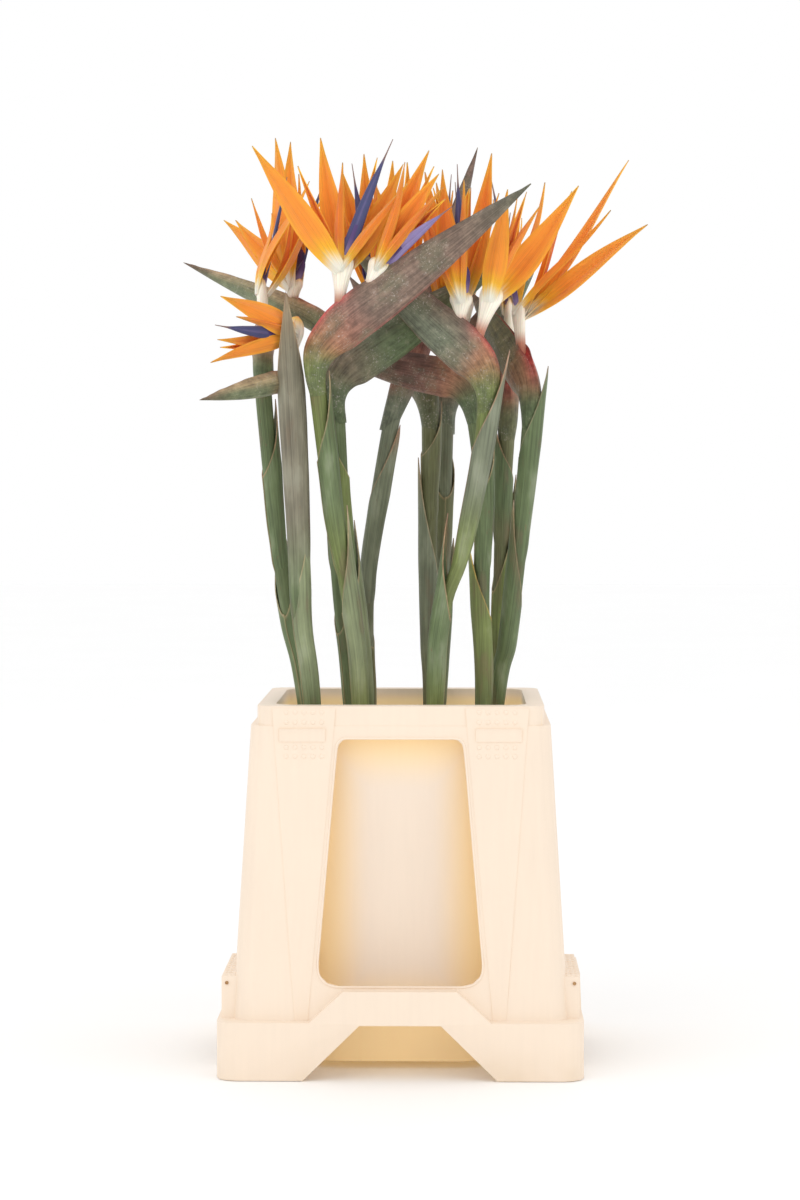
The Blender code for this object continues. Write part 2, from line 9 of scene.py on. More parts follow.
import bpy
from bpy.props import FloatProperty, FloatVectorProperty, PointerProperty
from bpy.types import Operator, Panel, PropertyGroup
from mathutils import Matrix, Vector


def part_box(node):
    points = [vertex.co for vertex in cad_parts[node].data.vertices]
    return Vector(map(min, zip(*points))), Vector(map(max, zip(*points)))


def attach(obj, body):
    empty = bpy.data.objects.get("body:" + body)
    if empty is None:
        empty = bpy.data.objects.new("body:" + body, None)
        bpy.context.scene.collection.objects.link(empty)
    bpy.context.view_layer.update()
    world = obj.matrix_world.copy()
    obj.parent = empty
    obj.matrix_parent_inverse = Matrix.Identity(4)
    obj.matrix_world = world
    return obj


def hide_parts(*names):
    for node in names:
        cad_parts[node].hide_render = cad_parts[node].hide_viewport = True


bl_info = {
    "name": "Bird of paradise in a flower crate",
    "version": (1, 0, 0),
    "blender": (4, 5, 0),
    "location": "View3D > Sidebar > Flower crate",
    "description": "Models cut bird of paradise flowers standing in a moulded crate",
    "category": "Object",
}

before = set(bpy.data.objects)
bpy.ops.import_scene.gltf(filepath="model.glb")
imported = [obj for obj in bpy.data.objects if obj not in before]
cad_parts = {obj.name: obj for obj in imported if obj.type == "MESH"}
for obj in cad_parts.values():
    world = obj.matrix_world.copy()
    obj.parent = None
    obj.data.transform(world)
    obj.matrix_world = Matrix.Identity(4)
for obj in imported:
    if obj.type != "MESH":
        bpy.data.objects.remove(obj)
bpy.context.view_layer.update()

MM = 0.001
UP = Vector((0, 0, 1))
CRATE_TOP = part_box("crate")[1].z
WATER_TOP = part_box("water")[1].z


def srgb(red, green, blue):
    """A colour as a screen shows it, from 0 to 255, made linear."""
    shares = [value / 255 for value in (red, green, blue)]
    return tuple(c / 12.92 if c <= 0.04045 else ((c + 0.055) / 1.055) ** 2.4 for c in shares)


def tone(name, description, *levels):
    """A colour property with its default."""
    return FloatVectorProperty(
        name=name, description=description, default=srgb(*levels), size=3, subtype="COLOR",
        min=0, max=1,
    )


def length(name, description, value):
    """A length property, its default given in millimetres."""
    return FloatProperty(name=name, description=description, default=value * MM, unit="LENGTH",
                         precision=4)


class FlowerColours(PropertyGroup):
    """The colours that the flowers are painted with."""

    white: tone("Claw white", "Foot of the sepals", 252, 244, 226)
    yellow: tone("Sepal yellow", "Sepals near their foot", 255, 200, 40)
    # deep is mostly painted shade: the deeper orange of sepals inside the bunch, where shade falls;
    # it also gives a random deeper tone
    orange: tone("Sepal orange", "Middle of the sepals", 255, 154, 52)
    deep: tone("Deep orange", "Sepals deep inside the bunch", 246, 122, 36)
    gold: tone("Sepal gold", "Sepals near their tip", 253, 188, 52)
    blue: tone("Petal blue", "Joined petals", 66, 70, 112)
    violet: tone("Petal violet", "Edges and foot of the petals", 84, 64, 118)
    lilac: tone("Petal lilac", "Pale petals", 140, 126, 172)
    brown: tone("Dry brown", "Petal threads and dry tips", 150, 118, 104)
    green: tone("Leaf green", "Stems and sheaths", 100, 116, 78)
    grey: tone("Grey green", "Stems with a waxy bloom", 120, 126, 104)
    dark: tone("Dark green", "Shaded stems", 110, 112, 76)
    olive: tone("Olive", "Young stems", 120, 132, 74)
    pale: tone("Pale green", "Lowest sheaths", 132, 141, 106)
    mauve: tone("Mauve", "Flushed spathes and sheaths", 136, 113, 98)
    purple: tone("Purple brown", "Strongly flushed spathes", 120, 84, 72)
    pink: tone("Pink", "Flush at the kink", 226, 84, 88)
    salmon: tone("Salmon", "Pale flush at the kink", 192, 124, 98)
    red: tone("Red", "Edge of the spathe", 190, 74, 72)
    dusk: tone("Dusk", "Greyish high sheaths", 130, 122, 106)
    tan: tone("Tan", "Thin edges and tips of sheaths", 196, 170, 132)


class FlowerSizes(PropertyGroup):
    """The sizes that all flowers share."""

    cane_low: length("Cane radius below", "Radius of a stem at its cut end", 5.8)
    cane_high: length("Cane radius above", "Radius of a stem under its flower", 7.6)
    sheath_gap: length("Sheath gap", "How far a sheath lies off its stem", 0.35)
    sheath_wall: length("Sheath wall", "Thickness of a leaf sheath", 0.7)
    spathe_depth: length("Spathe depth", "Half the depth of the largest spathe", 18)
    spathe_width: length("Spathe width", "Half the width of the largest spathe", 10)
    claw: length("Claw radius", "Radius of the white foot of a floret", 5.4)
    sepal_width: length("Sepal width", "Half the width of a sepal", 9.6)
    sepal_wall: length("Sepal wall", "Thickness of a sepal", 0.7)


class CrateLook(PropertyGroup):
    """Colours and small forms of the crate."""

    cream: tone("Cream", "Outer plastic", 243, 225, 205)
    # pale and amber are painted light and shade on the bucket: pale where it is lit, amber where it
    # is shaded and glows; the pins also use amber as their paler tone
    pale: tone("Pale cream", "Middle of the bucket seen through a window", 228, 212, 195)
    amber: tone("Amber", "Plastic deep in the hollows", 244, 214, 162)
    dirt: tone("Dirt", "Faint dirt at the feet", 214, 188, 150)
    edge: length("Edge radius", "Rounding of the moulded edges", 1.3)
    bump: length("Bump radius", "Radius of a grip bump", 2.0)
    bump_rise: length("Bump height", "How far a grip bump stands out", 0.9)
    dark: tone("Pin", "Dark amber of the pins", 150, 98, 40)
    pin: length("Pin radius", "Radius of the dark pin in each shoulder block", 1.3)


class StageLook(PropertyGroup):
    """Floor and light."""

    floor: tone("Floor", "Pale floor", 255, 255, 255)
    key: FloatProperty(name="Key light", description="Power of the large soft light", default=12,
                       min=0, unit="POWER")
    fill: FloatProperty(name="Fill light", description="Power of the second light", default=5,
                        min=0, unit="POWER")
    sky: FloatProperty(name="Sky", description="Strength of the white surroundings", default=1.0,
                       min=0)


# The narrow blades between the sepals: share of a sepal's width, and how far they are folded
INNER_WIDTH = 0.40
INNER_FOLD = 4.2


def sepal(lift, splay, length_mm, layer=1, width=1.0, tint=0.0, fold=1.7):
    """A sepal: degrees above the spathe's heading and sideways, its length and its look.

    layer is 1 or -1 for the left or the right of the floret, tint says how deep its orange is, as
    painted shade for blades deep inside the bunch, and fold how far it is folded.
    """
    return {"lift": lift, "splay": splay, "length": length_mm, "layer": layer, "width": width,
            "tint": tint, "fold": fold}


def floret(along, lean, sepals, petals, claw=28, hue="blue", inner=()):
    """An opened floret: its share of the way along the spathe, its claw's lean, and its parts.

    inner gives (lift, splay, length) of the narrow folded blades between the sepals.
    """
    narrow = []
    for i, blade in enumerate(inner):
        layer = -1 if i % 2 else 1
        # the narrow blades between the sepals get a deeper orange: painted shade
        narrow.append(sepal(*blade, layer, INNER_WIDTH, 0.35 + 0.3 * (i % 3), INNER_FOLD))
    return {"along": along, "lean": lean, "sepals": (*sepals, *narrow), "petals": petals,
            "claw": claw, "hue": hue}


def sheath(start, tip, side, size, hue, flush="tan"):
    """A leaf sheath: heights of its foot and tip in mm, its tip's side, its size and colours."""
    return {"start": start, "tip": tip, "side": side, "size": size, "hue": hue, "flush": flush}


def flower(route, tip, sheaths, florets, hues, depth=1.0):
    """A cut flower: its stem's points, its spathe's tip, what it carries, and its colours.

    depth is its spathe's size against the largest.
    """
    parts = ("cane", "neck", "kink", "belly", "back", "edge", "tip")
    return {"route": route, "tip": tip, "sheaths": sheaths, "florets": florets, "depth": depth,
            "hues": dict(zip(parts, hues))}


FLOWERS = (
    flower(
        route=((-32, -62, 281), (-40, -65, 355), (-54, -70, 439), (-65, -76, 529), (-68, -76, 556)),
        tip=(99, -112, 680),
        sheaths=(sheath(245, 436, -10, 1.0, "pale"), sheath(380, 540, 0, 1.1, "green")),
        florets=(
            floret(0.15, 86, (sepal(124, -12, 117, -1, 1.1), sepal(100, 1, 105), sepal(61, 6, 95)),
                   (67, -3, 107), inner=((112, -8, 88), (90, 4, 84), (74, 6, 92), (52, 3, 84))),
            floret(0.265, 62, (sepal(68, 7, 101, tint=0.4), sepal(57, 1, 88, tint=0.5)),
                   (38, -4, 76), 16, "lilac", ((63, 9, 92), (51, 5, 82), (46, 2, 76), (75, 2, 86))),
        ),
        hues=("olive", "salmon", "pink", "mauve", "mauve", "grey", "grey"),
    ),
    flower(
        route=((-69, -72, 281), (-78, -70, 347), (-80, -68, 415), (-84, -66, 500), (-87, -51, 534)),
        tip=(-152, -125, 516),
        sheaths=(sheath(245, 446, 10, 1.0, "pale"), sheath(330, 602, -90, 1.25, "dusk")),
        florets=(
            floret(0.06, 106, (sepal(21, -8, 79), sepal(-4, -7, 73, -1, 0.62),
                               sepal(-15, -5, 90, 1, 0.6)), (3, -1, 85), 30,
                   inner=((12, -6, 62), (-9, -8, 70))),
        ),
        hues=("green", "salmon", "salmon", "pale", "tan", "salmon", "purple"),
        depth=0.5,
    ),
    flower(
        route=((-42, 28, 274), (-51, 30, 358), (-56, 32, 438), (-58, 34, 519), (-58, 35, 580)),
        tip=(-185, 125, 637),
        sheaths=(sheath(245, 400, 40, 0.95, "green"), sheath(380, 560, 0, 1.0, "green")),
        florets=(
            floret(0.26, 95, (sepal(80, -3, 125, 1, 1.15), sepal(92, 6, 118, -1, 1.15),
                              sepal(45, 6, 81, -1), sepal(37, -5, 98)), (104, -8, 90), 10,
                   inner=((62, 2, 84), (70, -6, 96), (98, 4, 92))),
        ),
        hues=("green", "green", "salmon", "pale", "tan", "salmon", "purple"),
        depth=0.55,
    ),
    flower(
        route=((26, -70, 281), (33, -70, 356), (47, -69, 398), (62, -66, 479), (68, -62, 539)),
        tip=(-42, -48, 638),
        sheaths=(sheath(245, 430, 170, 1.0, "green", "salmon"),
                 sheath(385, 556, -5, 1.1, "grey", "salmon")),
        florets=(
            floret(0.15, 108, (sepal(100, 4, 88, 1, 0.95), sepal(127, -6, 114, -1, 1.15)),
                   (103, -2, 70), inner=((118, -2, 84), (109, 3, 90))),
            floret(0.26, 92, (sepal(101, -3, 120, -1, tint=0.6), sepal(82, 1, 103, tint=0.8)),
                   (88, -3, 108), 14,
                   inner=((92, 4, 96), (76, -2, 94), (70, 3, 86), (108, -6, 92))),
        ),
        hues=("olive", "salmon", "red", "grey", "mauve", "mauve", "grey"),
    ),
    flower(
        route=((74, -3, 276), (84, -8, 328), (92, -14, 397), (101, -23, 500), (102, -25, 528)),
        tip=(54, 90, 611),
        sheaths=(sheath(245, 440, 200, 1.0, "green"), sheath(385, 545, -20, 1.05, "green", "grey")),
        florets=(
            floret(0.20, 80, (sepal(149, -24, 140, -1), sepal(116, -26, 149, -1),
                              sepal(89, -14, 110)), (84, 10, 114),
                   inner=((132, -25, 118), (103, -18, 106))),
        ),
        hues=("green", "salmon", "red", "dark", "dark", "red", "purple"),
    ),
    flower(
        route=((64, -35, 279), (63, -28, 363), (64, -18, 438), (58, -10, 500), (50, -8, 533)),
        tip=(-66, 8, 558),
        sheaths=(sheath(245, 425, 180, 1.0, "olive", "yellow"), sheath(380, 484, 10, 1.0, "green")),
        florets=(
            floret(0.12, 86, (sepal(88, -2, 118, -1, tint=0.8), sepal(82, 2, 116, tint=0.6),
                              sepal(100, -1, 104, -1, tint=0.3)), (92, -1, 112), 36,
                   inner=((76, 4, 98), (108, 3, 92), (94, 5, 100))),
        ),
        hues=("green", "salmon", "salmon", "purple", "purple", "red", "mauve"),
        depth=0.85,
    ),
    flower(
        route=((-29, -25, 278), (-38, -26, 360), (-47, -28, 431), (-52, -33, 512), (-56, -34, 535)),
        tip=(81, -15, 628),
        sheaths=(sheath(245, 424, 20, 1.0, "pale"), sheath(385, 512, 190, 1.0, "olive")),
        florets=(
            floret(0.24, 76, (sepal(105, 3, 105), sepal(95, 0, 114), sepal(84, -3, 108, -1)),
                   (101, -1, 106), inner=((112, -2, 92), (90, 4, 98), (78, 2, 90))),
        ),
        hues=("green", "mauve", "mauve", "green", "grey", "salmon", "grey"),
    ),
    flower(
        route=((-29, 55, 272), (-30, 50, 359), (-24, 44, 420), (-8, 29, 510), (-1, 25, 529)),
        tip=(60, 95, 729),
        sheaths=(sheath(245, 378, 150, 1.0, "dark"), sheath(350, 500, -30, 1.0, "grey", "salmon")),
        florets=(
            floret(0.20, 95, (sepal(88, 2, 106), sepal(112, 6, 94, -1), sepal(128, -6, 96)),
                   (99, 3, 90), inner=((82, 5, 88), (104, -4, 92), (120, 2, 84))),
        ),
        hues=("grey", "salmon", "red", "purple", "mauve", "mauve", "mauve"),
        depth=0.85,
    ),
    flower(
        route=((22, 48, 273), (21, 50, 324), (21, 54, 403), (21, 61, 501), (19, 62, 530)),
        tip=(-47, 132, 626),
        sheaths=(sheath(245, 474, 200, 1.0, "grey"), sheath(420, 520, 20, 1.0, "dark")),
        florets=(
            floret(0.26, 84, (sepal(104, 6, 104), sepal(76, 14, 108, -1), sepal(88, -4, 106)),
                   (88, -2, 100), inner=((96, -6, 96), (82, 8, 92), (110, 4, 88))),
        ),
        hues=("dark", "purple", "purple", "purple", "purple", "red", "mauve"),
    ),
    flower(
        route=((28, 76, 271), (30, 82, 339), (32, 90, 421), (34, 98, 512), (33, 98, 529)),
        tip=(117, 134, 653),
        sheaths=(sheath(245, 408, 30, 1.0, "green"), sheath(360, 505, 100, 1.0, "dark")),
        florets=(
            floret(0.26, 88, (sepal(100, 8, 104), sepal(84, -12, 108, -1), sepal(114, -6, 100)),
                   (94, 2, 100), inner=((106, 4, 92), (90, -6, 96), (76, 4, 86))),
        ),
        hues=("grey", "salmon", "red", "green", "mauve", "red", "mauve"),
    ),
    flower(
        route=((74, 28, 274), (78, 34, 360), (80, 38, 430), (83, 42, 487), (85, 45, 520)),
        tip=(88, 118, 655),
        sheaths=(sheath(245, 460, 20, 1.0, "olive"), sheath(400, 500, 200, 1.0, "green", "salmon")),
        florets=(
            floret(0.24, 84, (sepal(100, -6, 96), sepal(80, 10, 98, -1), sepal(66, -8, 90)),
                   (90, 1, 92), inner=((92, -8, 84), (76, 4, 80))),
        ),
        hues=("dark", "salmon", "red", "green", "mauve", "red", "mauve"),
        depth=0.9,
    ),
    flower(
        route=((-77, -8, 277), (-90, -8, 343), (-100, -8, 415), (-110, -8, 519), (-111, -8, 557)),
        tip=(-120, 125, 593),
        sheaths=(sheath(245, 430, 60, 1.0, "green"), sheath(380, 520, 20, 1.0, "green", "salmon")),
        florets=(
            floret(0.20, 88, (sepal(102, -24, 100), sepal(78, -30, 104, -1), sepal(58, -8, 82)),
                   (86, -12, 96), inner=((94, -22, 88), (70, -16, 80))),
        ),
        hues=("green", "salmon", "salmon", "green", "salmon", "salmon", "mauve"),
        depth=0.8,
    ),
)

# How a stem goes down from the crate's mouth to its cut end: how far inwards, and its heights
FOOT_PULL = 0.74
CUT_END = 8.3 * MM
ABOVE_WATER = 10 * MM
# A stem's own radius against the one with its sheaths' feet
CANE_SLIM = 0.93
# A sheath's widest radius, where its margins end and where it leaves the stem as shares of it
SHEATH_RADIUS = 9.1 * MM
MARGIN_TOP = 0.56
FREE_FROM = 0.62

# The spathe's rings: share of its length, half its depth and half its width
SPATHE_SHAPE = (
    (0.15, 1.00, 1.08),
    (0.34, 0.97, 1.00),
    (0.55, 0.78, 0.80),
    (0.76, 0.47, 0.52),
    (0.91, 0.19, 0.24),
    (1.00, 0.02, 0.03),
)
# Half a spathe's section from the slit to the keel: sideways and towards the lips
SPATHE_SECTION = (
    (0.00, 0.90), (0.10, 1.00), (0.26, 0.88), (0.62, 0.60), (0.92, 0.22), (1.00, -0.08),
    (0.90, -0.46), (0.62, -0.78), (0.26, -0.95), (0.00, -1.00),
)
# The rings below the kink, how far the bend reaches and the neck's radius
NECK_RINGS = 3
BEND_REACH = 18 * MM
NECK_RADIUS = 7.8 * MM
# A sepal's width at even shares of its length, its fold, and how it sits on its claw
SEPAL_SHAPE = (0.50, 0.72, 0.90, 1.00, 0.99, 0.90, 0.76, 0.58, 0.39, 0.19, 0.01)
SEPAL_FOLD = 0.34
SEPAL_SHORT = 0.5 * MM
SEPAL_ASIDE = 3.1 * MM
SEPAL_SINK = 2.45 * MM
CLAW_SINK = 9 * MM
# The claw's rings: share of its length, and of its radius in the flower's plane and across it
CLAW_SHAPE = ((0.0, 0.80, 0.76), (0.30, 0.78, 0.72), (0.55, 0.94, 0.76), (0.80, 1.30, 0.82),
              (1.0, 1.66, 0.78), (1.16, 1.60, 0.55), (1.28, 1.05, 0.34), (1.34, 0.2, 0.1))
# The joined petals' rings: share of their length, half width and half thickness in mm
SHAFT_SHAPE = ((0.0, 2.4, 1.6), (0.2, 2.5, 1.7), (0.34, 2.6, 1.9))
HEAD_SHAPE = ((0.19, 1.2, 0.5), (0.22, 3.8, 1.0), (0.27, 5.3, 1.4), (0.36, 5.0, 1.9),
              (0.50, 4.3, 1.9), (0.66, 3.0, 1.6), (0.80, 1.3, 1.0), (0.88, 0.6, 0.6),
              (1.0, 0.3, 0.3))


# How far the crate's front and back stand from its middle, by height, in mm
FACE = ((0, 128), (44, 128), (104, 125), (268, 115), (283, 114.2))
# The window's corners: sideways, height and radius in mm
WINDOW = ((-64, 70, 17), (64, 70, 17), (48, 258, 8), (-48, 258, 8))
# The bead round it: radius, and how far outside the outline it lies
LIP = 0.9
LIP_ASIDE = 0.5
# The wedge on each post: its rise, and its heights and edges from its foot to its top
POST_RISE = 0.55
POST_HEIGHTS = (44, 281.5)
POST_INSIDE = (70.5, 49.5)
POST_OUTSIDE = (80.5, 98)
# The framed bar: place, size, and the width, depth and rise of its frame
BAR_PLACE = (75, 261)
BAR_SIZE = (35, 2.6, 10)
BAR_FRAME = 1.1
BAR_DEEP = 0.5
BAR_RISE = 0.25
# The grip bumps: sideways and upwards on the posts, then the rows along the tops of the blocks
BUMP_PLACES = (60, 66.8, 73.6, 80.4, 87.2)
BUMP_HEIGHTS = (278.3, 270.7, 251.6, 244.7)
BUMP_SUNK = 0.1
BLOCK_TOP = 76
BLOCK_ROWS = (127.6, 131.3, 135.0)
BLOCK_ROW_START = -110
BLOCK_ROW_STEP = 12.2
BLOCK_ROW_BUMPS = 10
BLOCK_BUMP_SIZE = 0.8
# The pins: place, length, and the width and depth of their dished end
PIN_PLACE = (133, -115, 71)
PIN_LONG = 1.6
PIN_RIM = 0.4
PIN_DISH = 0.35
# Where the plastic counts as deep in a hollow and gets painted shade and a painted glow, outwards
# from the middle, in metres
HOLLOW_FROM = 0.1090
HOLLOW_FULL = 0.1045

FLOOR_SIDE = 24
FLOOR_DROP = 0.5 * MM
LIGHT_TARGET = Vector((0, 0, 0.35))
KEY_PLACE = Vector((-1.5, -2.2, 2.3))
KEY_SIZE = 2.4
FILL_PLACE = Vector((1.9, -1.7, 1.5))
FILL_SIZE = 2.2
# The camera as it stood for the photograph: metres, degrees and millimetres
CAMERA_PLACE = (0.0402, -2.5583, 0.4524)
CAMERA_TURN = (87.932, 0, 0.951)
CAMERA_LENS = 96.325
CAMERA_SENSOR = 36


def blend(low, high, share):
    """Between two numbers, vectors or colours."""
    share = max(0.0, min(1.0, share))
    if isinstance(low, (tuple, list)):
        return tuple(a + (b - a) * share for a, b in zip(low, high))
    return low + (high - low) * share


def ease(low, high, value):
    """0 below low, 1 above high and smooth between."""
    share = max(0.0, min(1.0, (value - low) / (high - low)))
    return share * share * (3 - 2 * share)


def through(values, share):
    """A smooth curve through evenly spaced numbers or vectors, at a share of its way."""
    place = max(0.0, min(1.0, share)) * (len(values) - 1)
    i = min(int(place), len(values) - 2)
    t = place - i
    b, c = values[i], values[i + 1]
    a = values[i - 1] if i > 0 else 2 * b - c
    d = values[i + 2] if i + 2 < len(values) else 2 * c - b
    return (b + 0.5 * t * (c - a) + t * t * (a - 2.5 * b + 2 * c - 0.5 * d)
            + t * t * t * (1.5 * (b - c) + 0.5 * (d - a)))


def wander(seed, place):
    """A slow, even wobble between -1 and 1 that differs from piece to piece."""
    return 0.6 * math.sin(place + 1.7 * seed) + 0.4 * math.sin(2.3 * place + 2.9 * seed)


def deselect():
    bpy.ops.object.select_all(action="DESELECT")


def pick(*pieces):
    """Selects these pieces alone and makes the first one active."""
    deselect()
    for piece in pieces:
        piece.select_set(True)
    bpy.context.view_layer.objects.active = pieces[0]


def skin(name, across, along, place, tint, rolled=False, wall=0.0):
    """A grid laid where place(u, v) says and painted by tint(u, v).

    It is rolled into a tube with closed ends, or given a wall.
    """
    deselect()
    bpy.ops.mesh.primitive_grid_add(x_subdivisions=across, y_subdivisions=along, size=1)
    piece = bpy.context.object
    piece.name = name
    piece.data.name = name
    paint = piece.data.color_attributes.new("tint", "FLOAT_COLOR", "POINT")
    for vert in piece.data.vertices:
        u = vert.co.x + 0.5
        v = vert.co.y + 0.5
        paint.data[vert.index].color = (*tint(u, v), 1)
        vert.co = place(u, v)
    if rolled:
        bpy.ops.object.mode_set(mode="EDIT")
        bpy.ops.mesh.select_all(action="SELECT")
        bpy.ops.mesh.remove_doubles(threshold=0.001 * MM)
        bpy.ops.mesh.fill_holes(sides=0)
        bpy.ops.mesh.select_all(action="SELECT")
        bpy.ops.mesh.normals_make_consistent(inside=False)
        bpy.ops.object.mode_set(mode="OBJECT")
    if wall:
        solid = piece.modifiers.new("wall", "SOLIDIFY")
        solid.thickness = wall
        solid.offset = 0
        pick(piece)
        bpy.ops.object.modifier_apply(modifier=solid.name)
    return piece


def gather(name, pieces, finish, nodes, smooth=50):
    """Joins pieces to one, gives it its finish and lets it take the place of its nodes."""
    pick(*pieces)
    if len(pieces) > 1:
        bpy.ops.object.join()
    whole = bpy.context.object
    whole.name = name
    whole.data.name = name
    whole.data.materials.clear()
    whole.data.materials.append(finish)
    bpy.ops.object.shade_smooth_by_angle(angle=math.radians(smooth))
    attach(whole, "root")
    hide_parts(*nodes)


def face_at(height):
    """How far the crate's front and back stand from its middle at a height, in metres."""
    for (low, near), (high, far) in zip(FACE, FACE[1:]):
        if height <= high * MM:
            return blend(near, far, (height / MM - low) / (high - low)) * MM
    return FACE[-1][1] * MM


def window_outline(steps=8):
    """The window's rounded outline as points sideways and upwards, in metres."""
    corners = [Vector((x, z)) * MM for x, z, _ in WINDOW]
    outline = []
    for i, (_, _, radius) in enumerate(WINDOW):
        corner = corners[i]
        back = (corners[i - 1] - corner).normalized()
        on = (corners[(i + 1) % 4] - corner).normalized()
        cut = radius * MM / math.tan(back.angle(on) / 2)
        first, last = corner + back * cut, corner + on * cut
        for step in range(steps + 1):
            share = step / steps
            outline.append(first.lerp(corner, share).lerp(corner.lerp(last, share), share))
    return outline


def pick_faces(piece, chosen):
    """Goes into edit mode with only the chosen faces selected."""
    bpy.ops.object.mode_set(mode="EDIT")
    bpy.ops.mesh.select_mode(type="FACE")
    bpy.ops.mesh.select_all(action="DESELECT")
    bpy.ops.object.mode_set(mode="OBJECT")
    for face in piece.data.polygons:
        face.select = chosen(face)
    bpy.ops.object.mode_set(mode="EDIT")


def repeat(piece, moves):
    """Copies of a piece, each with its own mesh moved by a matrix. The piece itself goes."""
    copies = []
    for i, move in enumerate(moves):
        mesh = piece.data.copy()
        mesh.transform(move)
        if move.determinant() < 0:
            mesh.flip_normals()
        copies.append(bpy.data.objects.new(f"{piece.name}_{i:03d}", mesh))
        bpy.context.scene.collection.objects.link(copies[-1])
    bpy.data.objects.remove(piece)
    return copies


def on_faces(places, rise):
    """Moves that set a piece, made facing the front, on the front and back, left and right."""
    moves = []
    for x, z in places:
        out = face_at(z * MM) + rise
        for side in (-1, 1):
            moves.append(Matrix.Translation((side * x * MM, -out, z * MM)))
            moves.append(Matrix.Translation((side * x * MM, out, z * MM))
                         @ Matrix.Rotation(math.pi, 4, "Z"))
    return moves


class Value:
    """A shader socket that can be reckoned with."""

    def __init__(self, finish, socket):
        self.finish = finish
        self.socket = socket

    def maths(self, operation, first, second=0.5):
        return self.finish.node("Math", {"operation": operation}, {0: first, 1: second})

    def __add__(self, other):
        return self.maths("ADD", self, other)

    def __sub__(self, other):
        return self.maths("SUBTRACT", self, other)

    def __rsub__(self, other):
        return self.maths("SUBTRACT", other, self)

    def __mul__(self, other):
        return self.maths("MULTIPLY", self, other)

    def __abs__(self):
        return self.maths("ABSOLUTE", self)

    def up_to(self, other):
        return self.maths("MINIMUM", self, other)

    def at_least(self, other):
        return self.maths("MAXIMUM", self, other)

    __radd__ = __add__
    __rmul__ = __mul__


class Finish:
    """A material in the making, round one Principled shader."""

    def __init__(self, name, **constants):
        self.material = bpy.data.materials.new(name)
        self.material.use_nodes = True
        self.tree = self.material.node_tree
        self.shader = self.tree.nodes["Principled BSDF"]
        for socket, value in constants.items():
            self.shader.inputs[socket.replace("_", " ")].default_value = value

    def node(self, kind, settings=None, sockets=None, output=0):
        """Adds a node, sets it up, fills or links its sockets and returns one output."""
        made = self.tree.nodes.new("ShaderNode" + kind)
        for key, value in (settings or {}).items():
            setattr(made, key, value)
        for key, value in (sockets or {}).items():
            self.feed(made.inputs[key], value)
        return Value(self, made.outputs[output])

    def feed(self, socket, value):
        if isinstance(value, Value):
            self.tree.links.new(value.socket, socket)
        elif isinstance(value, tuple) and len(value) == 3 and socket.type == "RGBA":
            socket.default_value = (*value, 1)
        else:
            socket.default_value = value

    def give(self, **sockets):
        """Links what varies over the surface to the shader."""
        for name, value in sockets.items():
            self.feed(self.shader.inputs[name.replace("_", " ")], value)
        return self.material

    def mix(self, share, low, high):
        return self.node("Mix", {"data_type": "RGBA"}, {0: share, 6: low, 7: high}, 2)

    def brighter(self, colour, amount):
        """A colour times an amount."""
        return self.node("VectorMath", {"operation": "SCALE"}, {0: colour, "Scale": amount})

    def step(self, value, low, high):
        """0 below low, 1 above high and smooth between."""
        settings = {"interpolation_type": "SMOOTHSTEP"}
        return self.node("MapRange", settings, {0: value, 1: low, 2: high, 3: 0.0, 4: 1.0})

    def place(self):
        return self.node("TexCoord", output=3)

    def unrolled(self):
        return self.node("UVMap", {"uv_map": "UVMap"})

    def stretched(self, coordinates, scale):
        """A mapping that makes a pattern denser along the axes with the larger scales."""
        return self.node("Mapping", None, {0: coordinates, "Scale": scale})

    def noise(self, coordinates, scale, detail=3.0, roughness=0.5):
        sockets = {"Vector": coordinates, "Scale": scale, "Detail": detail, "Roughness": roughness}
        return self.node("TexNoise", None, sockets)

    def fibres(self, across, along, detail=3.0, roughness=0.5):
        """Streaks along a piece, so many across it and so many along it."""
        return self.noise(self.stretched(self.unrolled(), (across, along, 1.0)), 1.0, detail,
                          roughness)

    def contrast(self, value):
        """A noise spread out from 0 to 1."""
        return self.step(value, 0.30, 0.70)

    def painted(self):
        return self.node("Attribute", {"attribute_name": "tint"})

    def bump(self, height, distance, strength=1.0):
        sockets = {"Height": height, "Distance": distance, "Strength": strength}
        return self.node("Bump", None, sockets)


def leaf_finish():
    """Stems and sheaths: long fibres, cloudy bloom and small scars."""
    finish = Finish("leaf skin", Specular_IOR_Level=0.35)
    fibres = finish.fibres(46.0, 2.2, 4.0)
    threads = finish.step(finish.fibres(95.0, 1.3), 0.35, 0.68)
    clouds = finish.noise(finish.stretched(finish.place(), (1.0, 1.0, 0.35)), 70.0, 3.0)
    specks = finish.noise(finish.stretched(finish.place(), (1.0, 1.0, 0.4)), 520.0, 2.0)
    scar = finish.step(specks, 0.68, 0.76)
    light = finish.contrast(fibres) * 0.36 + threads * 0.24 + finish.contrast(clouds) * 0.34
    colour = finish.brighter(finish.painted(), light + 0.50)
    colour = finish.mix(finish.step(clouds, 0.52, 0.74) * 0.30, colour, srgb(172, 174, 156))
    colour = finish.mix(finish.step(clouds, 0.44, 0.30) * 0.30, colour, srgb(136, 112, 88))
    colour = finish.mix(scar * 0.5, colour, srgb(120, 96, 72))
    return finish.give(
        Base_Color=colour,
        Roughness=0.42 + clouds * 0.25,
        Normal=finish.bump(fibres + threads * 0.3 + specks * 0.3, 0.4 * MM, 0.9),
    )


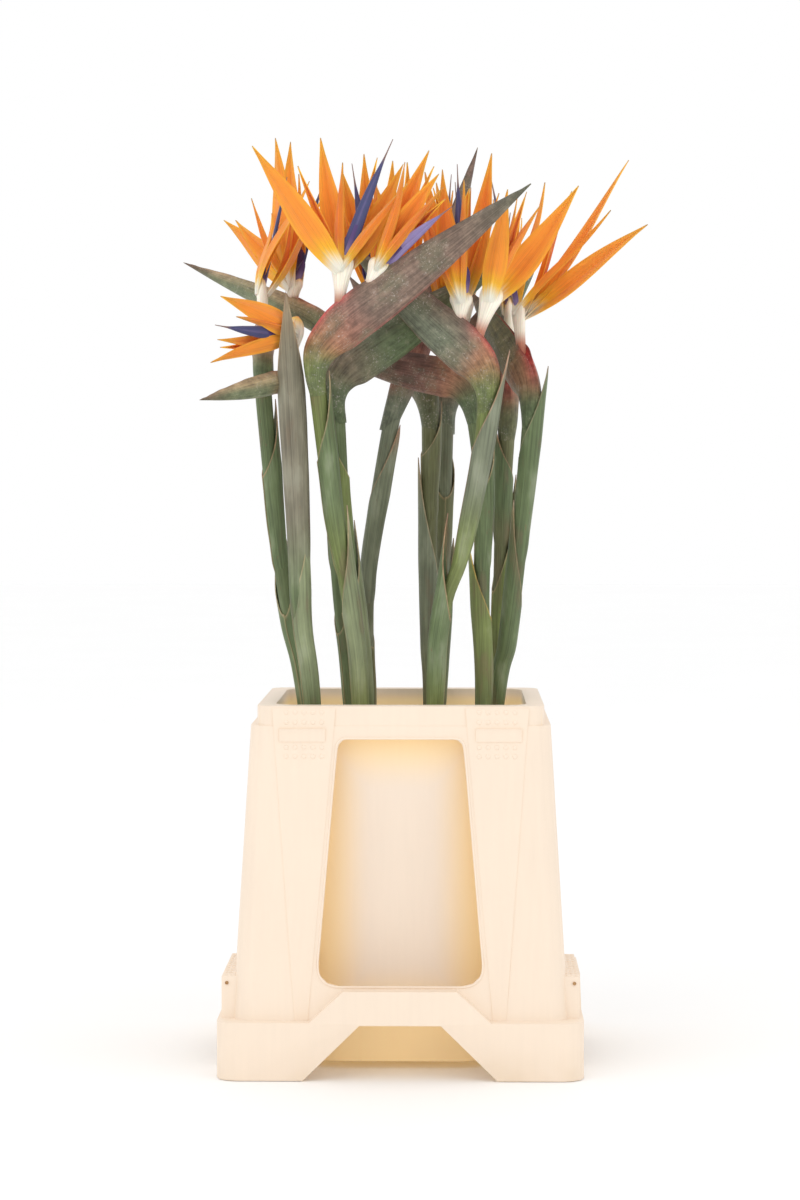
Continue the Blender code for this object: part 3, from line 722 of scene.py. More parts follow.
def spathe_finish():
    """The beak: dark streaks along it, cloudy mottling, and scuffs and flecks of pale wax."""
    finish = Finish("spathe skin", Specular_IOR_Level=0.4, Coat_Weight=0.08, Coat_Roughness=0.35)
    streaks = finish.contrast(finish.fibres(70.0, 4.5, 5.0, 0.65))
    mottle = finish.noise(finish.place(), 130.0, 5.0, 0.65)
    blotch = finish.contrast(mottle)
    clouds = finish.noise(finish.place(), 42.0, 3.0)
    flecks = finish.noise(finish.place(), 620.0, 3.0, 0.7)
    wax = finish.step(flecks, 0.56, 0.68) * finish.step(clouds + mottle * 0.5, 0.68, 0.86)
    colour = finish.brighter(finish.painted(), 0.34 + streaks * 0.54 + blotch * 0.54)
    green = finish.step(clouds, 0.48, 0.66)
    colour = finish.mix(green * 0.38, colour, srgb(112, 122, 92))
    colour = finish.mix(finish.step(mottle, 0.56, 0.74) * 0.22, colour, srgb(186, 170, 156))
    colour = finish.mix(wax * 0.62, colour, srgb(208, 198, 190))
    return finish.give(
        Base_Color=colour,
        Roughness=0.36 + mottle * 0.2 + wax * 0.2,
        Normal=finish.bump(streaks + mottle * 0.6 + wax * 0.3, 0.45 * MM, 0.9),
    )


def sepal_finish():
    """Thin orange sepals: fine parallel veins, a soft sheen and a little light let through."""
    finish = Finish("sepal skin", Specular_IOR_Level=0.3, Sheen_Weight=0.15, Sheen_Roughness=0.5,
                    Subsurface_Weight=0.12, Subsurface_Scale=0.004)
    veins = finish.contrast(finish.fibres(34.0, 1.6, 4.0, 0.6))
    fine = finish.fibres(120.0, 2.0, 2.0)
    soft = finish.noise(finish.place(), 60.0, 2.0)
    colour = finish.brighter(finish.painted(), 0.64 + veins * 0.28 + fine * 0.24 + soft * 0.18)
    return finish.give(
        Base_Color=colour,
        Roughness=0.46 + veins * 0.16,
        Normal=finish.bump(veins + fine * 0.5, 0.3 * MM, 0.8),
    )


def petal_finish():
    """The joined blue petals: dark, with pale streaks along them and the painted highlight along
    each groove that their tint carries.
    """
    finish = Finish("petal skin", Specular_IOR_Level=0.4, Sheen_Weight=0.3, Sheen_Roughness=0.4)
    lines = finish.fibres(30.0, 1.4, 3.0, 0.6)
    soft = finish.noise(finish.place(), 140.0, 3.0)
    colour = finish.brighter(finish.painted(), 0.55 + lines * 0.6 + soft * 0.3)
    return finish.give(
        Base_Color=colour,
        Roughness=0.42 + soft * 0.2,
        Normal=finish.bump(lines, 0.3 * MM, 0.8),
    )


def crate_finish(look):
    """Moulded cream plastic, with painted shade and a painted glow inside the hollows, and with
    rubs and faint dirt.
    """
    finish = Finish("crate plastic", Specular_IOR_Level=0.35, Emission_Strength=0.2)
    place = finish.place()
    parts = finish.node("SeparateXYZ", None, {0: place})
    across = Value(finish, parts.socket.node.outputs["X"])
    back = Value(finish, parts.socket.node.outputs["Y"])
    height = Value(finish, parts.socket.node.outputs["Z"])
    outwards = abs(across).at_least(abs(back))
    sideways = abs(across).up_to(abs(back))
    cloud = finish.noise(place, 16.0, 3.0)
    rubs = finish.noise(finish.stretched(place, (1.0, 1.0, 0.06)), 260.0, 3.0)
    grain = finish.noise(place, 1400.0, 2.0)
    below_rim = finish.step(height, CRATE_TOP - 0.001, CRATE_TOP - 0.012)
    # where the painted shade and the painted glow go: inside the bucket, below the rim
    hollow = finish.step(outwards, HOLLOW_FROM, HOLLOW_FULL) * below_rim
    beside = finish.step(sideways, 0.022, 0.062)
    # where painted shade falls on the bucket: near the top, at the sides of the window and low down
    shaded = finish.step(height, 0.215, 0.262).at_least(beside).at_least(
        finish.step(height, 0.085, 0.03))
    # painted light and shade: pale where the bucket is lit, amber where it is shaded
    bucket = finish.mix(shaded, tuple(look.pale), tuple(look.amber))
    colour = finish.mix(hollow, tuple(look.cream), bucket)
    colour = finish.brighter(colour, 0.955 + cloud * 0.05 + rubs * 0.05)
    low = finish.step(height, 0.03, 0.0) * finish.step(cloud, 0.4, 0.7)
    colour = finish.mix(low * 0.35, colour, tuple(look.dirt))
    return finish.give(
        Base_Color=colour,
        # painted glow: the bucket's painted colours shine out as light, though it is no lamp
        Emission_Color=finish.mix(hollow, (0.0, 0.0, 0.0), bucket),
        Roughness=0.38 + cloud * 0.12 + rubs * 0.1,
        Normal=finish.bump(grain + rubs * 0.6, 0.06 * MM, 0.7),
    )


def pin_finish(look):
    """The dark amber of the pins."""
    finish = Finish("pin", Specular_IOR_Level=0.4)
    cloud = finish.noise(finish.place(), 900.0, 2.0)
    return finish.give(
        Base_Color=finish.mix(finish.step(cloud, 0.35, 0.65) * 0.4, tuple(look.dark),
                              tuple(look.amber)),
        Roughness=0.4 + cloud * 0.15,
    )


def water_finish():
    """Clear water that has stood with stems in it."""
    finish = Finish("water", Base_Color=(0.80, 0.88, 0.80, 1), Transmission_Weight=0.9, IOR=1.33)
    ripples = finish.noise(finish.place(), 45.0, 2.0)
    return finish.give(
        Roughness=0.03 + ripples * 0.05,
        Normal=finish.bump(ripples, 0.4 * MM, 0.5),
    )


def floor_finish(look):
    finish = Finish("studio floor", Specular_IOR_Level=0.1)
    dust = finish.noise(finish.place(), 3.0, 3.0)
    return finish.give(
        Base_Color=finish.brighter(tuple(look.floor), 0.985 + dust * 0.02),
        Roughness=0.7 + dust * 0.1,
    )


def cut_stem(spec):
    """The points of a stem's middle line from its cut end to the kink, in metres."""
    mouth = Vector(spec["route"][0]) * MM
    foot = Vector((mouth.x * FOOT_PULL, mouth.y * FOOT_PULL, CUT_END))
    above = foot.lerp(mouth, (WATER_TOP + ABOVE_WATER) / mouth.z)
    return [foot, above] + [Vector(point) * MM for point in spec["route"]]


def smooth_stem(spec, count=72):
    """Many points on a smooth curve through the stem's own, evenly by its pieces."""
    points = cut_stem(spec)
    return [through(points, i / (count - 1)) for i in range(count)]


def at_height(line, height):
    for low, high in zip(line, line[1:]):
        if low.z <= height <= high.z:
            return low.lerp(high, (height - low.z) / (high.z - low.z))
    return line[-1].copy() if height > line[-1].z else line[0].copy()


def heading_of(spec):
    """Unit vectors along a flower's heading and to its left, both level."""
    ahead = Vector(spec["tip"]) - Vector(spec["route"][-1])
    ahead.z = 0
    ahead.normalize()
    return ahead, UP.cross(ahead)


def towards(spec, lift, splay):
    """The direction lift degrees above the heading and splay degrees to its left."""
    ahead, left = heading_of(spec)
    lift = math.radians(lift)
    splay = math.radians(splay)
    return (math.cos(splay) * (math.cos(lift) * ahead + math.sin(lift) * UP)
            + math.sin(splay) * left)


def spathe_frame(spec):
    """The kink, the spathe's direction and length, the way to its lips and the way to its left."""
    kink = Vector(spec["route"][-1]) * MM
    reach = Vector(spec["tip"]) * MM - kink
    left = heading_of(spec)[1]
    direction = reach.normalized()
    lips = direction.cross(left)
    return kink, direction, reach.length, lips * (1 if lips.z > 0 else -1), left


def claw_ends(spec, bud, sizes):
    """Where a floret's claw leaves the spathe, where it ends and its direction."""
    kink, direction, reach, lips, _ = spathe_frame(spec)
    depth = sizes.spathe_depth * spec["depth"]
    foot = kink + direction * reach * bud["along"] + lips * (depth - CLAW_SINK)
    lean = towards(spec, bud["lean"], 0)
    return foot, foot + lean * (bud["claw"] * MM + CLAW_SINK), lean


def cane_skin(number, spec, hues, sizes):
    """A stem from its cut end to the neck of its spathe, with faint ribs."""
    line = smooth_stem(spec, 90)
    top = Vector(spec["route"][-1]) * MM
    neck = (top - Vector(spec["route"][-2]) * MM).normalized()
    end = (top - neck * 1.05 * BEND_REACH).z
    foot = CUT_END
    colour = hues[spec["hues"]["cane"]]

    def place(u, v):
        height = blend(foot, end, v)
        turn = 2 * math.pi * u
        reach = cane_radius(spec, height, sizes) - 0.2 * MM
        reach *= 1 + 0.012 * math.sin(7 * turn + 9 * height) + 0.01 * wander(number, 40 * height)
        return at_height(line, height) + reach * Vector((math.cos(turn), math.sin(turn), 0))

    def tint(u, v):
        low = blend(colour, hues["pale"], 0.30 * ease(0.55, 0.1, v))
        return blend(low, hues["dark"], 0.30 * (0.5 + 0.5 * wander(number + 2, 14 * v)))

    return skin(f"cane_{number:02d}", 18, 74, place, tint, rolled=True)


def cane_radius(spec, height, sizes):
    """The stem's radius at a height, thicker towards its flower."""
    share = max(0.0, min(1.0, height / (spec["route"][-1][2] * MM)))
    return blend(sizes.cane_low, sizes.cane_high, share ** 2.5) * CANE_SLIM


def sheath_skin(number, spec, band, hues, sizes, seed):
    """A leaf sheath wrapped round the stem, its margins lying on it, which ends in a free point."""
    line = smooth_stem(spec, 90)
    turn = math.radians(band["side"])
    aside = Vector((math.cos(turn), math.sin(turn), 0))
    along = UP.cross(aside)
    full = SHEATH_RADIUS * band["size"]
    low, tip = band["start"] * MM, band["tip"] * MM
    free_height = blend(low, tip, FREE_FROM)
    free = at_height(line, free_height)
    below = 20 * MM
    slope = (free - at_height(line, free_height - below)) / below

    def lie(u, v):
        around = (2 * u - 1) * math.pi * 1.02
        side = min(1.0, abs(around) / math.pi)
        top = blend(tip, blend(low, tip, MARGIN_TOP), 1 - (1 - side) ** 1.9)
        top += 1.0 * MM * wander(seed, 9 * u) * side
        return around, side, blend(low, top, v)

    def place(u, v):
        around, side, height = lie(u, v)
        share = (height - low) / (tip - low)
        free_share = max(0.0, (height - free_height) / (tip - free_height))
        sunk = ease(0.14, 0.0, v)
        hug = cane_radius(spec, height, sizes) + blend(sizes.sheath_gap, -0.9 * MM, sunk)
        widening = blend(0.58 * full, full, min(1.0, share / FREE_FROM))
        loose = max(hug, widening * (1 - 0.4 * sunk))
        near = ease(0.30, 0.85, side) * ease(0.25, 0.9, v)
        reach = blend(loose, hug, near)
        reach += (u - 0.5) * 0.5 * MM
        reach *= 1 + 0.10 * free_share ** 2 * (1 - side)
        centre = at_height(line, height) if height < free_height else blend(
            free + slope * (height - free_height), at_height(line, height), near)
        reach *= 1 + 0.010 * math.sin(9 * around + seed) + 0.012 * wander(seed, 60 * height)
        return centre + reach * (math.cos(around) * aside + math.sin(around) * along)

    def tint(u, v):
        around, side, height = lie(u, v)
        share = (height - low) / (tip - low)
        colour = blend(hues[spec["hues"]["cane"]], hues[band["hue"]], ease(0.08, 0.42, share))
        patch = 0.5 + 0.5 * wander(seed + 3, 5 * u + 2 * v)
        colour = blend(colour, hues["pale"], 0.16 * patch)
        flush = hues[band["flush"]]
        colour = blend(colour, flush, 0.45 * ease(0.80, 1.0, share))
        edge = max(ease(0.975, 0.995, v), 0.6 * ease(0.97, 0.99, abs(2 * u - 1)))
        colour = blend(colour, blend(hues["tan"], flush, 0.5), 0.6 * edge)
        return blend(colour, hues["brown"], 0.7 * ease(0.97, 1.0, share))

    return skin(f"sheath_{number:02d}", 30, 34, place, tint, wall=sizes.sheath_wall)


def spathe_rings(spec, sizes):
    """The rings that the spathe is drawn through, and the way to its left.

    Each ring has its middle, the way to the lips, half width, half depth and how open it is.
    """
    kink, direction, reach, lips, left = spathe_frame(spec)
    depth = sizes.spathe_depth * spec["depth"]
    width = sizes.spathe_width * (0.4 + 0.6 * spec["depth"])
    neck = (kink - Vector(spec["route"][-2]) * MM).normalized()
    behind = left.cross(neck)
    behind *= 1 if behind.dot(direction) < 0 else -1
    low = kink - neck * BEND_REACH
    first = kink + direction * reach * SPATHE_SHAPE[0][0]
    middle = (low + 2 * kink + first) / 4
    half_way = (behind + lips).normalized()
    rings = [
        (low - neck * BEND_REACH, behind, 0.82 * sizes.cane_high, 0.82 * sizes.cane_high, 0.0),
        (low, behind, NECK_RADIUS + 0.3 * MM, NECK_RADIUS + 0.8 * MM, 0.0),
        (middle, half_way, (NECK_RADIUS + width) / 2, (NECK_RADIUS + depth) / 2 + 1 * MM, 0.35),
    ]
    for share, deep, wide in SPATHE_SHAPE:
        rings.append((kink + direction * reach * share, lips, wide * width, deep * depth, 1.0))
    return rings, left


def spathe_skin(number, spec, hues, sizes):
    """The beak: a folded leaf with a slit between its lips, bent at the kink."""
    rings, left = spathe_rings(spec, sizes)
    kink, direction, reach, _, _ = spathe_frame(spec)
    columns = list(zip(*rings))
    count = len(rings) - 1
    section = [Vector((a, b, 0)) for a, b in SPATHE_SECTION]
    names = spec["hues"]

    def round_it(u):
        """Side, and share of the way from the slit to the keel."""
        return (1, 2 * u) if u <= 0.5 else (-1, 2 - 2 * u)

    def place(u, v):
        side, share = round_it(u)
        share = share ** 1.15
        centre = through(columns[0], v)
        lips = through(columns[1], v).normalized()
        wide, deep, open_share = (through(columns[i], v) for i in (2, 3, 4))
        open_share = max(0.0, min(1.0, open_share))
        leaf = through(section, share)
        angle = math.pi * share
        across = blend(math.sin(angle), leaf.x, open_share)
        height = blend(math.cos(angle), leaf.y, open_share)
        ripple = 1 + 0.02 * math.sin(5 * math.pi * share) * open_share
        along = (centre - kink).dot(direction) / reach
        parted = 0.0
        for bud in spec["florets"]:
            gap = (along - bud["along"]) * reach
            parted = max(parted, math.exp(-(gap / (11 * MM)) ** 2))
        if open_share > 0.5:
            lip = ease(0.5, 0.0, share)
            spread = parted * lip * 3.4 * MM
            height -= parted * 0.25 * ease(0.06, 0.0, share)
        else:
            spread = 0.0
        waver = 0.35 * MM * wander(number, 30 * v) * open_share * ease(0.4, 0.0, share)
        return (centre + side * (max(0.02 * MM, across * wide * ripple + spread) if share > 0
                                 else 0.0) * left
                + (height * deep + waver) * lips)

    def tint(u, v):
        side, share = round_it(u)
        turn = v * count / NECK_RINGS
        past = max(0.0, (v * count - NECK_RINGS) / (count - NECK_RINGS))
        patch = 0.5 + 0.5 * wander(number + side, 6 * u + 9 * v)
        body = blend(hues[names["back"]], hues[names["belly"]],
                     ease(0.30, 0.72, share + 0.1 * patch))
        body = blend(body, hues[names["tip"]], 0.8 * ease(0.45, 0.95, past))
        body = blend(body, hues["tan"], 0.6 * ease(0.96, 1.0, past))
        glow = hues[names["kink"]]
        stem = blend(hues[names["cane"]], hues[names["neck"]], 0.7 * ease(0.35, 0.95, turn))
        colour = blend(stem, body, ease(0.72, 1.25, turn + 0.25 * (patch - 0.5)))
        bend = ease(0.45, 0.95, turn) * ease(0.16, 0.02, past)
        colour = blend(colour, glow, bend * (0.12 + 0.8 * ease(0.42, 0.12, share)))
        keel = ease(0.86, 1.0, share) * ease(0.75, 0.1, past) * ease(0.8, 1.0, turn)
        colour = blend(colour, glow, 0.40 * keel)
        lip = ease(0.17, 0.06, share) * ease(0.9, 1.1, turn)
        return blend(colour, hues[names["edge"]], 0.75 * lip)

    return skin(f"spathe_{number:02d}", 40, 64, place, tint, rolled=True)


def claw_skin(number, spec, bud, hues, sizes):
    """The white foot of a floret, which widens to a fan."""
    foot, top, lean = claw_ends(spec, bud, sizes)
    left = heading_of(spec)[1]
    across = lean.cross(left).normalized()
    columns = [[row[i] for row in CLAW_SHAPE] for i in range(3)]

    def place(u, v):
        turn = 2 * math.pi * u
        middle = foot + (top - foot) * through(columns[0], v)
        wide = sizes.claw * max(0.05, through(columns[1], v))
        thick = sizes.claw * max(0.05, through(columns[2], v))
        ribs = 1 + 0.03 * math.sin(6 * turn)
        return middle + ribs * (wide * math.cos(turn) * across + thick * math.sin(turn) * left)

    def tint(u, v):
        base = blend(hues["salmon"], hues["white"], ease(0.12, 0.34, v))
        base = blend(base, hues["yellow"], 0.8 * ease(0.62, 0.88, v))
        return blend(base, hues["orange"], 0.8 * ease(0.84, 1.0, v))

    return skin("claw", 18, 20, place, tint, rolled=True)


def sepal_skin(number, spec, bud, leaf, hues, sizes, seed):
    """A keeled blade from the claw to a fine point, with a slight sway and twist of its own."""
    _, top, lean = claw_ends(spec, bud, sizes)
    left = heading_of(spec)[1]
    layer = leaf["layer"]
    direction = towards(spec, leaf["lift"], leaf["splay"])
    across = direction.cross(left).normalized()
    face = across.cross(direction).normalized() * layer
    face *= 1 if face.dot(left) * layer > 0 else -1
    start = top + left * layer * SEPAL_ASIDE - lean * SEPAL_SINK
    reach = leaf["length"] * MM - SEPAL_SHORT
    half = sizes.sepal_width * leaf["width"]
    sway = 2.6 * MM * math.sin(2.1 * seed)
    arch = 3.0 * MM * math.sin(1.3 * seed + 1)
    twist = 0.30 * math.sin(3.7 * seed)
    skewed = 0.25 * math.sin(5.1 * seed)

    def place(u, v):
        side = 2 * u - 1
        wide = half * max(0.0, through(SEPAL_SHAPE, v))
        bow = math.sin(math.pi * v)
        turned = twist * (v - 0.3)
        a = math.cos(turned) * across + math.sin(turned) * face
        b = math.cos(turned) * face - math.sin(turned) * across
        middle = (start + direction * reach * v + across * sway * bow
                  + face * (arch * bow + 1.2 * MM * math.sin(2 * math.pi * v)))
        keel = 1 - abs(side - 0.12 * skewed) ** 1.08
        curl = 0.16 * abs(side) ** 4
        ruffle = 0.5 * MM * math.sin(6 * v + seed) * abs(side) ** 3
        fold = SEPAL_FOLD * leaf["fold"]
        return middle + wide * side * a + (wide * (fold * keel + curl) + ruffle) * b

    def tint(u, v):
        side = 2 * u - 1
        # painted shade: blades deep inside the bunch are made a deeper orange by their tint
        colour = blend(hues["orange"], hues["deep"], leaf["tint"])
        colour = blend(colour, hues["deep"], 0.16 * (0.5 + 0.5 * wander(seed, 6 * v + side)))
        colour = blend(colour, hues["gold"], 0.55 * abs(side) ** 3 + 0.6 * ease(0.70, 1.0, v))
        foot = v + 0.05 * abs(side) + 0.015 * math.sin(17 * side + seed)
        colour = blend(colour, hues["yellow"], 0.9 * ease(0.34, 0.12, foot))
        colour = blend(colour, hues["white"], ease(0.19, 0.05, foot))
        return blend(colour, hues["tan"], 0.7 * ease(0.965, 1.0, v))

    return skin("sepal", 12, 34, place, tint, wall=sizes.sepal_wall)


def arrow_skins(number, spec, bud, hues, sizes, seed):
    """The joined petals: a slim foot, an arrow with two barbs, a thread, and a small hood petal."""
    _, top, lean = claw_ends(spec, bud, sizes)
    lift, splay, size = bud["petals"]
    left = heading_of(spec)[1]
    direction = towards(spec, lift, splay)
    across = direction.cross(left).normalized()
    face = across.cross(direction).normalized()
    start = top - lean * 1.5 * MM
    reach = size * MM
    bowed = 2.0 * MM * math.sin(1.9 * seed)
    hue = hues[bud["hue"]]

    def middle(share):
        return start + direction * reach * share + across * bowed * math.sin(math.pi * share)

    def rod(name, shape, groove, barb, sides, rows, colour):
        columns = [[row[i] for row in shape] for i in range(3)]

        def place(u, v):
            turn = 2 * math.pi * u
            share, wide, thick = (through(column, v) for column in columns)
            side = math.cos(turn)
            wide, thick = max(0.05, wide) * MM, max(0.05, thick) * MM
            back = barb * abs(side) ** 2 * ease(0.42, 0.22, share)
            rise = math.sin(turn) * (1 - groove * math.exp(-(side / 0.25) ** 2))
            return middle(share - back) + wide * side * across + thick * rise * face

        return skin(name, sides, rows, place, colour, rolled=True)

    def head_tint(u, v):
        edge = abs(math.cos(2 * math.pi * u))
        colour = blend(hue, hues["violet"], 0.5 * ease(0.35, 0.0, v))
        # painted highlight: lilac along the groove in the middle of each face
        colour = blend(colour, hues["lilac"], 0.35 * ease(0.35, 0.0, edge))
        return blend(colour, hues["brown"], 0.9 * ease(0.74, 0.86, v))

    def shaft_tint(u, v):
        return blend(hues["lilac"], hues["violet"], ease(0.2, 0.7, v))

    def hood_place(u, v):
        side = 2 * u - 1
        wide = 5.2 * MM * (1 - v) ** 0.7 * (0.45 + v) * 1.3
        base = start + (direction * 0.9 + across * 0.2).normalized() * v * 0.26 * reach
        return base + across * wide * side + face * (3.4 * MM - wide * 0.7 * side * side)

    head = rod("head", HEAD_SHAPE, 0.55, 0.09, 20, 36, head_tint)
    shaft = rod("shaft", SHAFT_SHAPE, 0.3, 0.0, 12, 8, shaft_tint)
    hood = skin("hood", 8, 8, hood_place, shaft_tint, wall=0.5 * MM)
    return [head, shaft, hood]


def colours_of(context):
    """The flower colours by name, as plain tuples."""
    group = context.scene.flower_colours
    return {name: tuple(getattr(group, name)) for name in group.bl_rna.properties.keys()
            if name not in ("rna_type", "name")}


class CRATE_OT_model(Operator):
    """Round the crate's moulded edges and give it its grip bumps, pins and plastic"""

    bl_idname = "flower_crate.crate"
    bl_label = "Crate"

    def execute(self, context):
        look = context.scene.crate_look
        finish = crate_finish(look)
        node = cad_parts["crate"]
        body = bpy.data.objects.new("crate_body", node.data.copy())
        context.scene.collection.objects.link(body)
        pick(body)
        body.data.materials.clear()
        bpy.ops.object.mode_set(mode="EDIT")
        bpy.ops.mesh.select_all(action="SELECT")
        bpy.ops.mesh.remove_doubles(threshold=0.01 * MM)
        bpy.ops.mesh.dissolve_limited(angle_limit=math.radians(1))
        bpy.ops.object.mode_set(mode="OBJECT")
        rounding = body.modifiers.new("rounding", "BEVEL")
        rounding.width = look.edge
        rounding.segments = 2
        rounding.limit_method = "ANGLE"
        rounding.angle_limit = math.radians(32)
        rounding.use_clamp_overlap = True
        bpy.ops.object.modifier_apply(modifier=rounding.name)
        gather("crate_body", [body], finish, ["crate"], 40)
        for name, pieces, smooth in (("lips", self.lips(look), 60), ("posts", self.posts(look), 30),
                                     ("bars", self.bars(), 30), ("bumps", self.bumps(look), 60)):
            gather(f"crate_{name}", pieces, finish, ["crate"], smooth)
        gather("crate_pins", self.pins(look), pin_finish(look), ["crate"], 40)
        return {"FINISHED"}

    def lips(self, look):
        """A thin bead round the front and the back window."""
        outline = window_outline()
        count = len(outline)

        def bead(way):
            def place(u, v):
                i = round(v * count) % count
                along = (outline[(i + 1) % count] - outline[i - 1]).normalized()
                out = Vector((along.y, -along.x))
                turn = 2 * math.pi * u
                spot = outline[i] + out * (LIP_ASIDE + LIP * math.cos(turn)) * MM
                rise = 0.7 * LIP * MM * math.sin(turn)
                return Vector((spot.x * way, -way * (face_at(spot.y) + rise), spot.y))

            return skin("lip", 10, count, place, lambda u, v: look.cream, rolled=True)

        return [bead(1), bead(-1)]

    def posts(self, look):
        """The raised wedge down each corner post."""
        def wedge(side, way):
            def place(u, v):
                height = blend(*POST_HEIGHTS, v) * MM
                x = blend(blend(*POST_INSIDE, v), blend(*POST_OUTSIDE, v), u) * MM
                return Vector((side * x, -way * face_at(height), height))

            return skin("post", 3, 16, place, lambda u, v: look.cream, wall=2 * POST_RISE * MM)

        return [wedge(side, way) for side in (-1, 1) for way in (-1, 1)]

    def bars(self):
        """A plain frame round each raised bar."""
        deselect()
        bpy.ops.mesh.primitive_cube_add(size=1)
        bar = bpy.context.object
        bar.name = "bar"
        bpy.ops.object.mode_set(mode="EDIT")
        bpy.ops.transform.resize(value=[part * MM for part in BAR_SIZE])
        pick_faces(bar, lambda face: face.normal.y < -0.9)
        bpy.ops.mesh.inset(thickness=BAR_FRAME * MM)
        bpy.ops.transform.translate(value=(0, BAR_DEEP * MM, 0))
        bpy.ops.object.mode_set(mode="OBJECT")
        return repeat(bar, on_faces([BAR_PLACE], BAR_RISE * MM))

    def bumps(self, look):
        """Rows of small domes above and below each bar, and along the tops of the blocks."""
        deselect()
        bpy.ops.mesh.primitive_uv_sphere_add(segments=12, ring_count=6, radius=1)
        dome = bpy.context.object
        dome.name = "bump"
        bpy.ops.object.mode_set(mode="EDIT")
        bpy.ops.transform.resize(value=(look.bump, look.bump_rise, look.bump))
        bpy.ops.mesh.select_all(action="SELECT")
        bpy.ops.mesh.bisect(plane_co=(0, 0, 0), plane_no=(0, 1, 0), use_fill=True,
                            clear_outer=True)
        bpy.ops.object.mode_set(mode="OBJECT")
        moves = on_faces([(x, z) for x in BUMP_PLACES for z in BUMP_HEIGHTS],
                         (POST_RISE - BUMP_SUNK) * MM)
        lying = Matrix.Rotation(-math.pi / 2, 4, "X") @ Matrix.Scale(BLOCK_BUMP_SIZE, 4)
        for side in (-1, 1):
            for x in BLOCK_ROWS:
                for i in range(BLOCK_ROW_BUMPS):
                    y = BLOCK_ROW_START + BLOCK_ROW_STEP * i
                    spot = Vector((side * x, y, BLOCK_TOP - BUMP_SUNK)) * MM
                    moves.append(Matrix.Translation(spot) @ lying)
        return repeat(dome, moves)

    def pins(self, look):
        """The dished dark pin in the front end of each block."""
        deselect()
        bpy.ops.mesh.primitive_cylinder_add(vertices=20, radius=look.pin, depth=PIN_LONG * MM)
        pin = bpy.context.object
        pin.name = "pin"
        bpy.ops.object.mode_set(mode="EDIT")
        bpy.ops.transform.rotate(value=math.pi / 2, orient_axis="X", center_override=(0, 0, 0))
        pick_faces(pin, lambda face: face.normal.y < -0.9)
        bpy.ops.mesh.inset(thickness=PIN_RIM * MM)
        bpy.ops.transform.translate(value=(0, PIN_DISH * MM, 0))
        bpy.ops.object.mode_set(mode="OBJECT")
        x, y, z = (part * MM for part in PIN_PLACE)
        return repeat(pin, [Matrix.Translation((side * x, y - 0.1 * MM, z)) for side in (-1, 1)])


class CRATE_OT_water(Operator):
    """Give the water its look"""

    bl_idname = "flower_crate.water"
    bl_label = "Water"

    def execute(self, context):
        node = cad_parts["water"]
        finish = water_finish()
        if node.material_slots:
            for slot in node.material_slots:
                slot.material = finish
        else:
            node.data.materials.append(finish)
        return {"FINISHED"}


class CRATE_OT_canes(Operator):
    """Model the stems, from their cut ends to the necks of the flowers"""

    bl_idname = "flower_crate.canes"
    bl_label = "Stems"

    def execute(self, context):
        hues = colours_of(context)
        sizes = context.scene.flower_sizes
        finish = leaf_finish()
        for number, spec in enumerate(FLOWERS, 1):
            cane = cane_skin(number, spec, hues, sizes)
            gather(cane.name, [cane], finish, [f"stem_{number:02d}"])
        return {"FINISHED"}


class CRATE_OT_sheaths(Operator):
    """Model the leaf sheaths round the stems"""

    bl_idname = "flower_crate.sheaths"
    bl_label = "Sheaths"

    def execute(self, context):
        hues = colours_of(context)
        sizes = context.scene.flower_sizes
        finish = leaf_finish()
        for number, spec in enumerate(FLOWERS, 1):
            bands = [sheath_skin(number, spec, band, hues, sizes, 3 * number + i)
                     for i, band in enumerate(spec["sheaths"])]
            gather(f"sheaths_{number:02d}", bands, finish, [f"stem_{number:02d}"])
        return {"FINISHED"}


class CRATE_OT_spathes(Operator):
    """Model the beaks of the flowers"""

    bl_idname = "flower_crate.spathes"
    bl_label = "Spathes"

    def execute(self, context):
        hues = colours_of(context)
        sizes = context.scene.flower_sizes
        finish = spathe_finish()
        for number, spec in enumerate(FLOWERS, 1):
            beak = spathe_skin(number, spec, hues, sizes)
            gather(beak.name, [beak], finish, [f"stem_{number:02d}"], 60)
        return {"FINISHED"}


class CRATE_OT_sepals(Operator):
    """Model the orange sepals with their white foot"""

    bl_idname = "flower_crate.sepals"
    bl_label = "Sepals"

    def execute(self, context):
        hues = colours_of(context)
        sizes = context.scene.flower_sizes
        finish = sepal_finish()
        for number, spec in enumerate(FLOWERS, 1):
            fan = []
            for bud in spec["florets"]:
                fan.append(claw_skin(number, spec, bud, hues, sizes))
                for i, leaf in enumerate(bud["sepals"]):
                    seed = 5 * number + i + bud["claw"]
                    fan.append(sepal_skin(number, spec, bud, leaf, hues, sizes, seed))
            gather(f"fan_{number:02d}", fan, finish, [f"sepals_{number:02d}"])
        return {"FINISHED"}


class CRATE_OT_petals(Operator):
    """Model the blue petals joined to arrows"""

    bl_idname = "flower_crate.petals"
    bl_label = "Petals"

    def execute(self, context):
        hues = colours_of(context)
        sizes = context.scene.flower_sizes
        finish = petal_finish()
        for number, spec in enumerate(FLOWERS, 1):
            for suffix, bud in zip(("", "_second"), spec["florets"]):
                skins = arrow_skins(number, spec, bud, hues, sizes, number + 7 * len(suffix))
                gather(f"arrow_{number:02d}{suffix}", skins, finish,
                       [f"petals_{number:02d}{suffix}"])
        return {"FINISHED"}


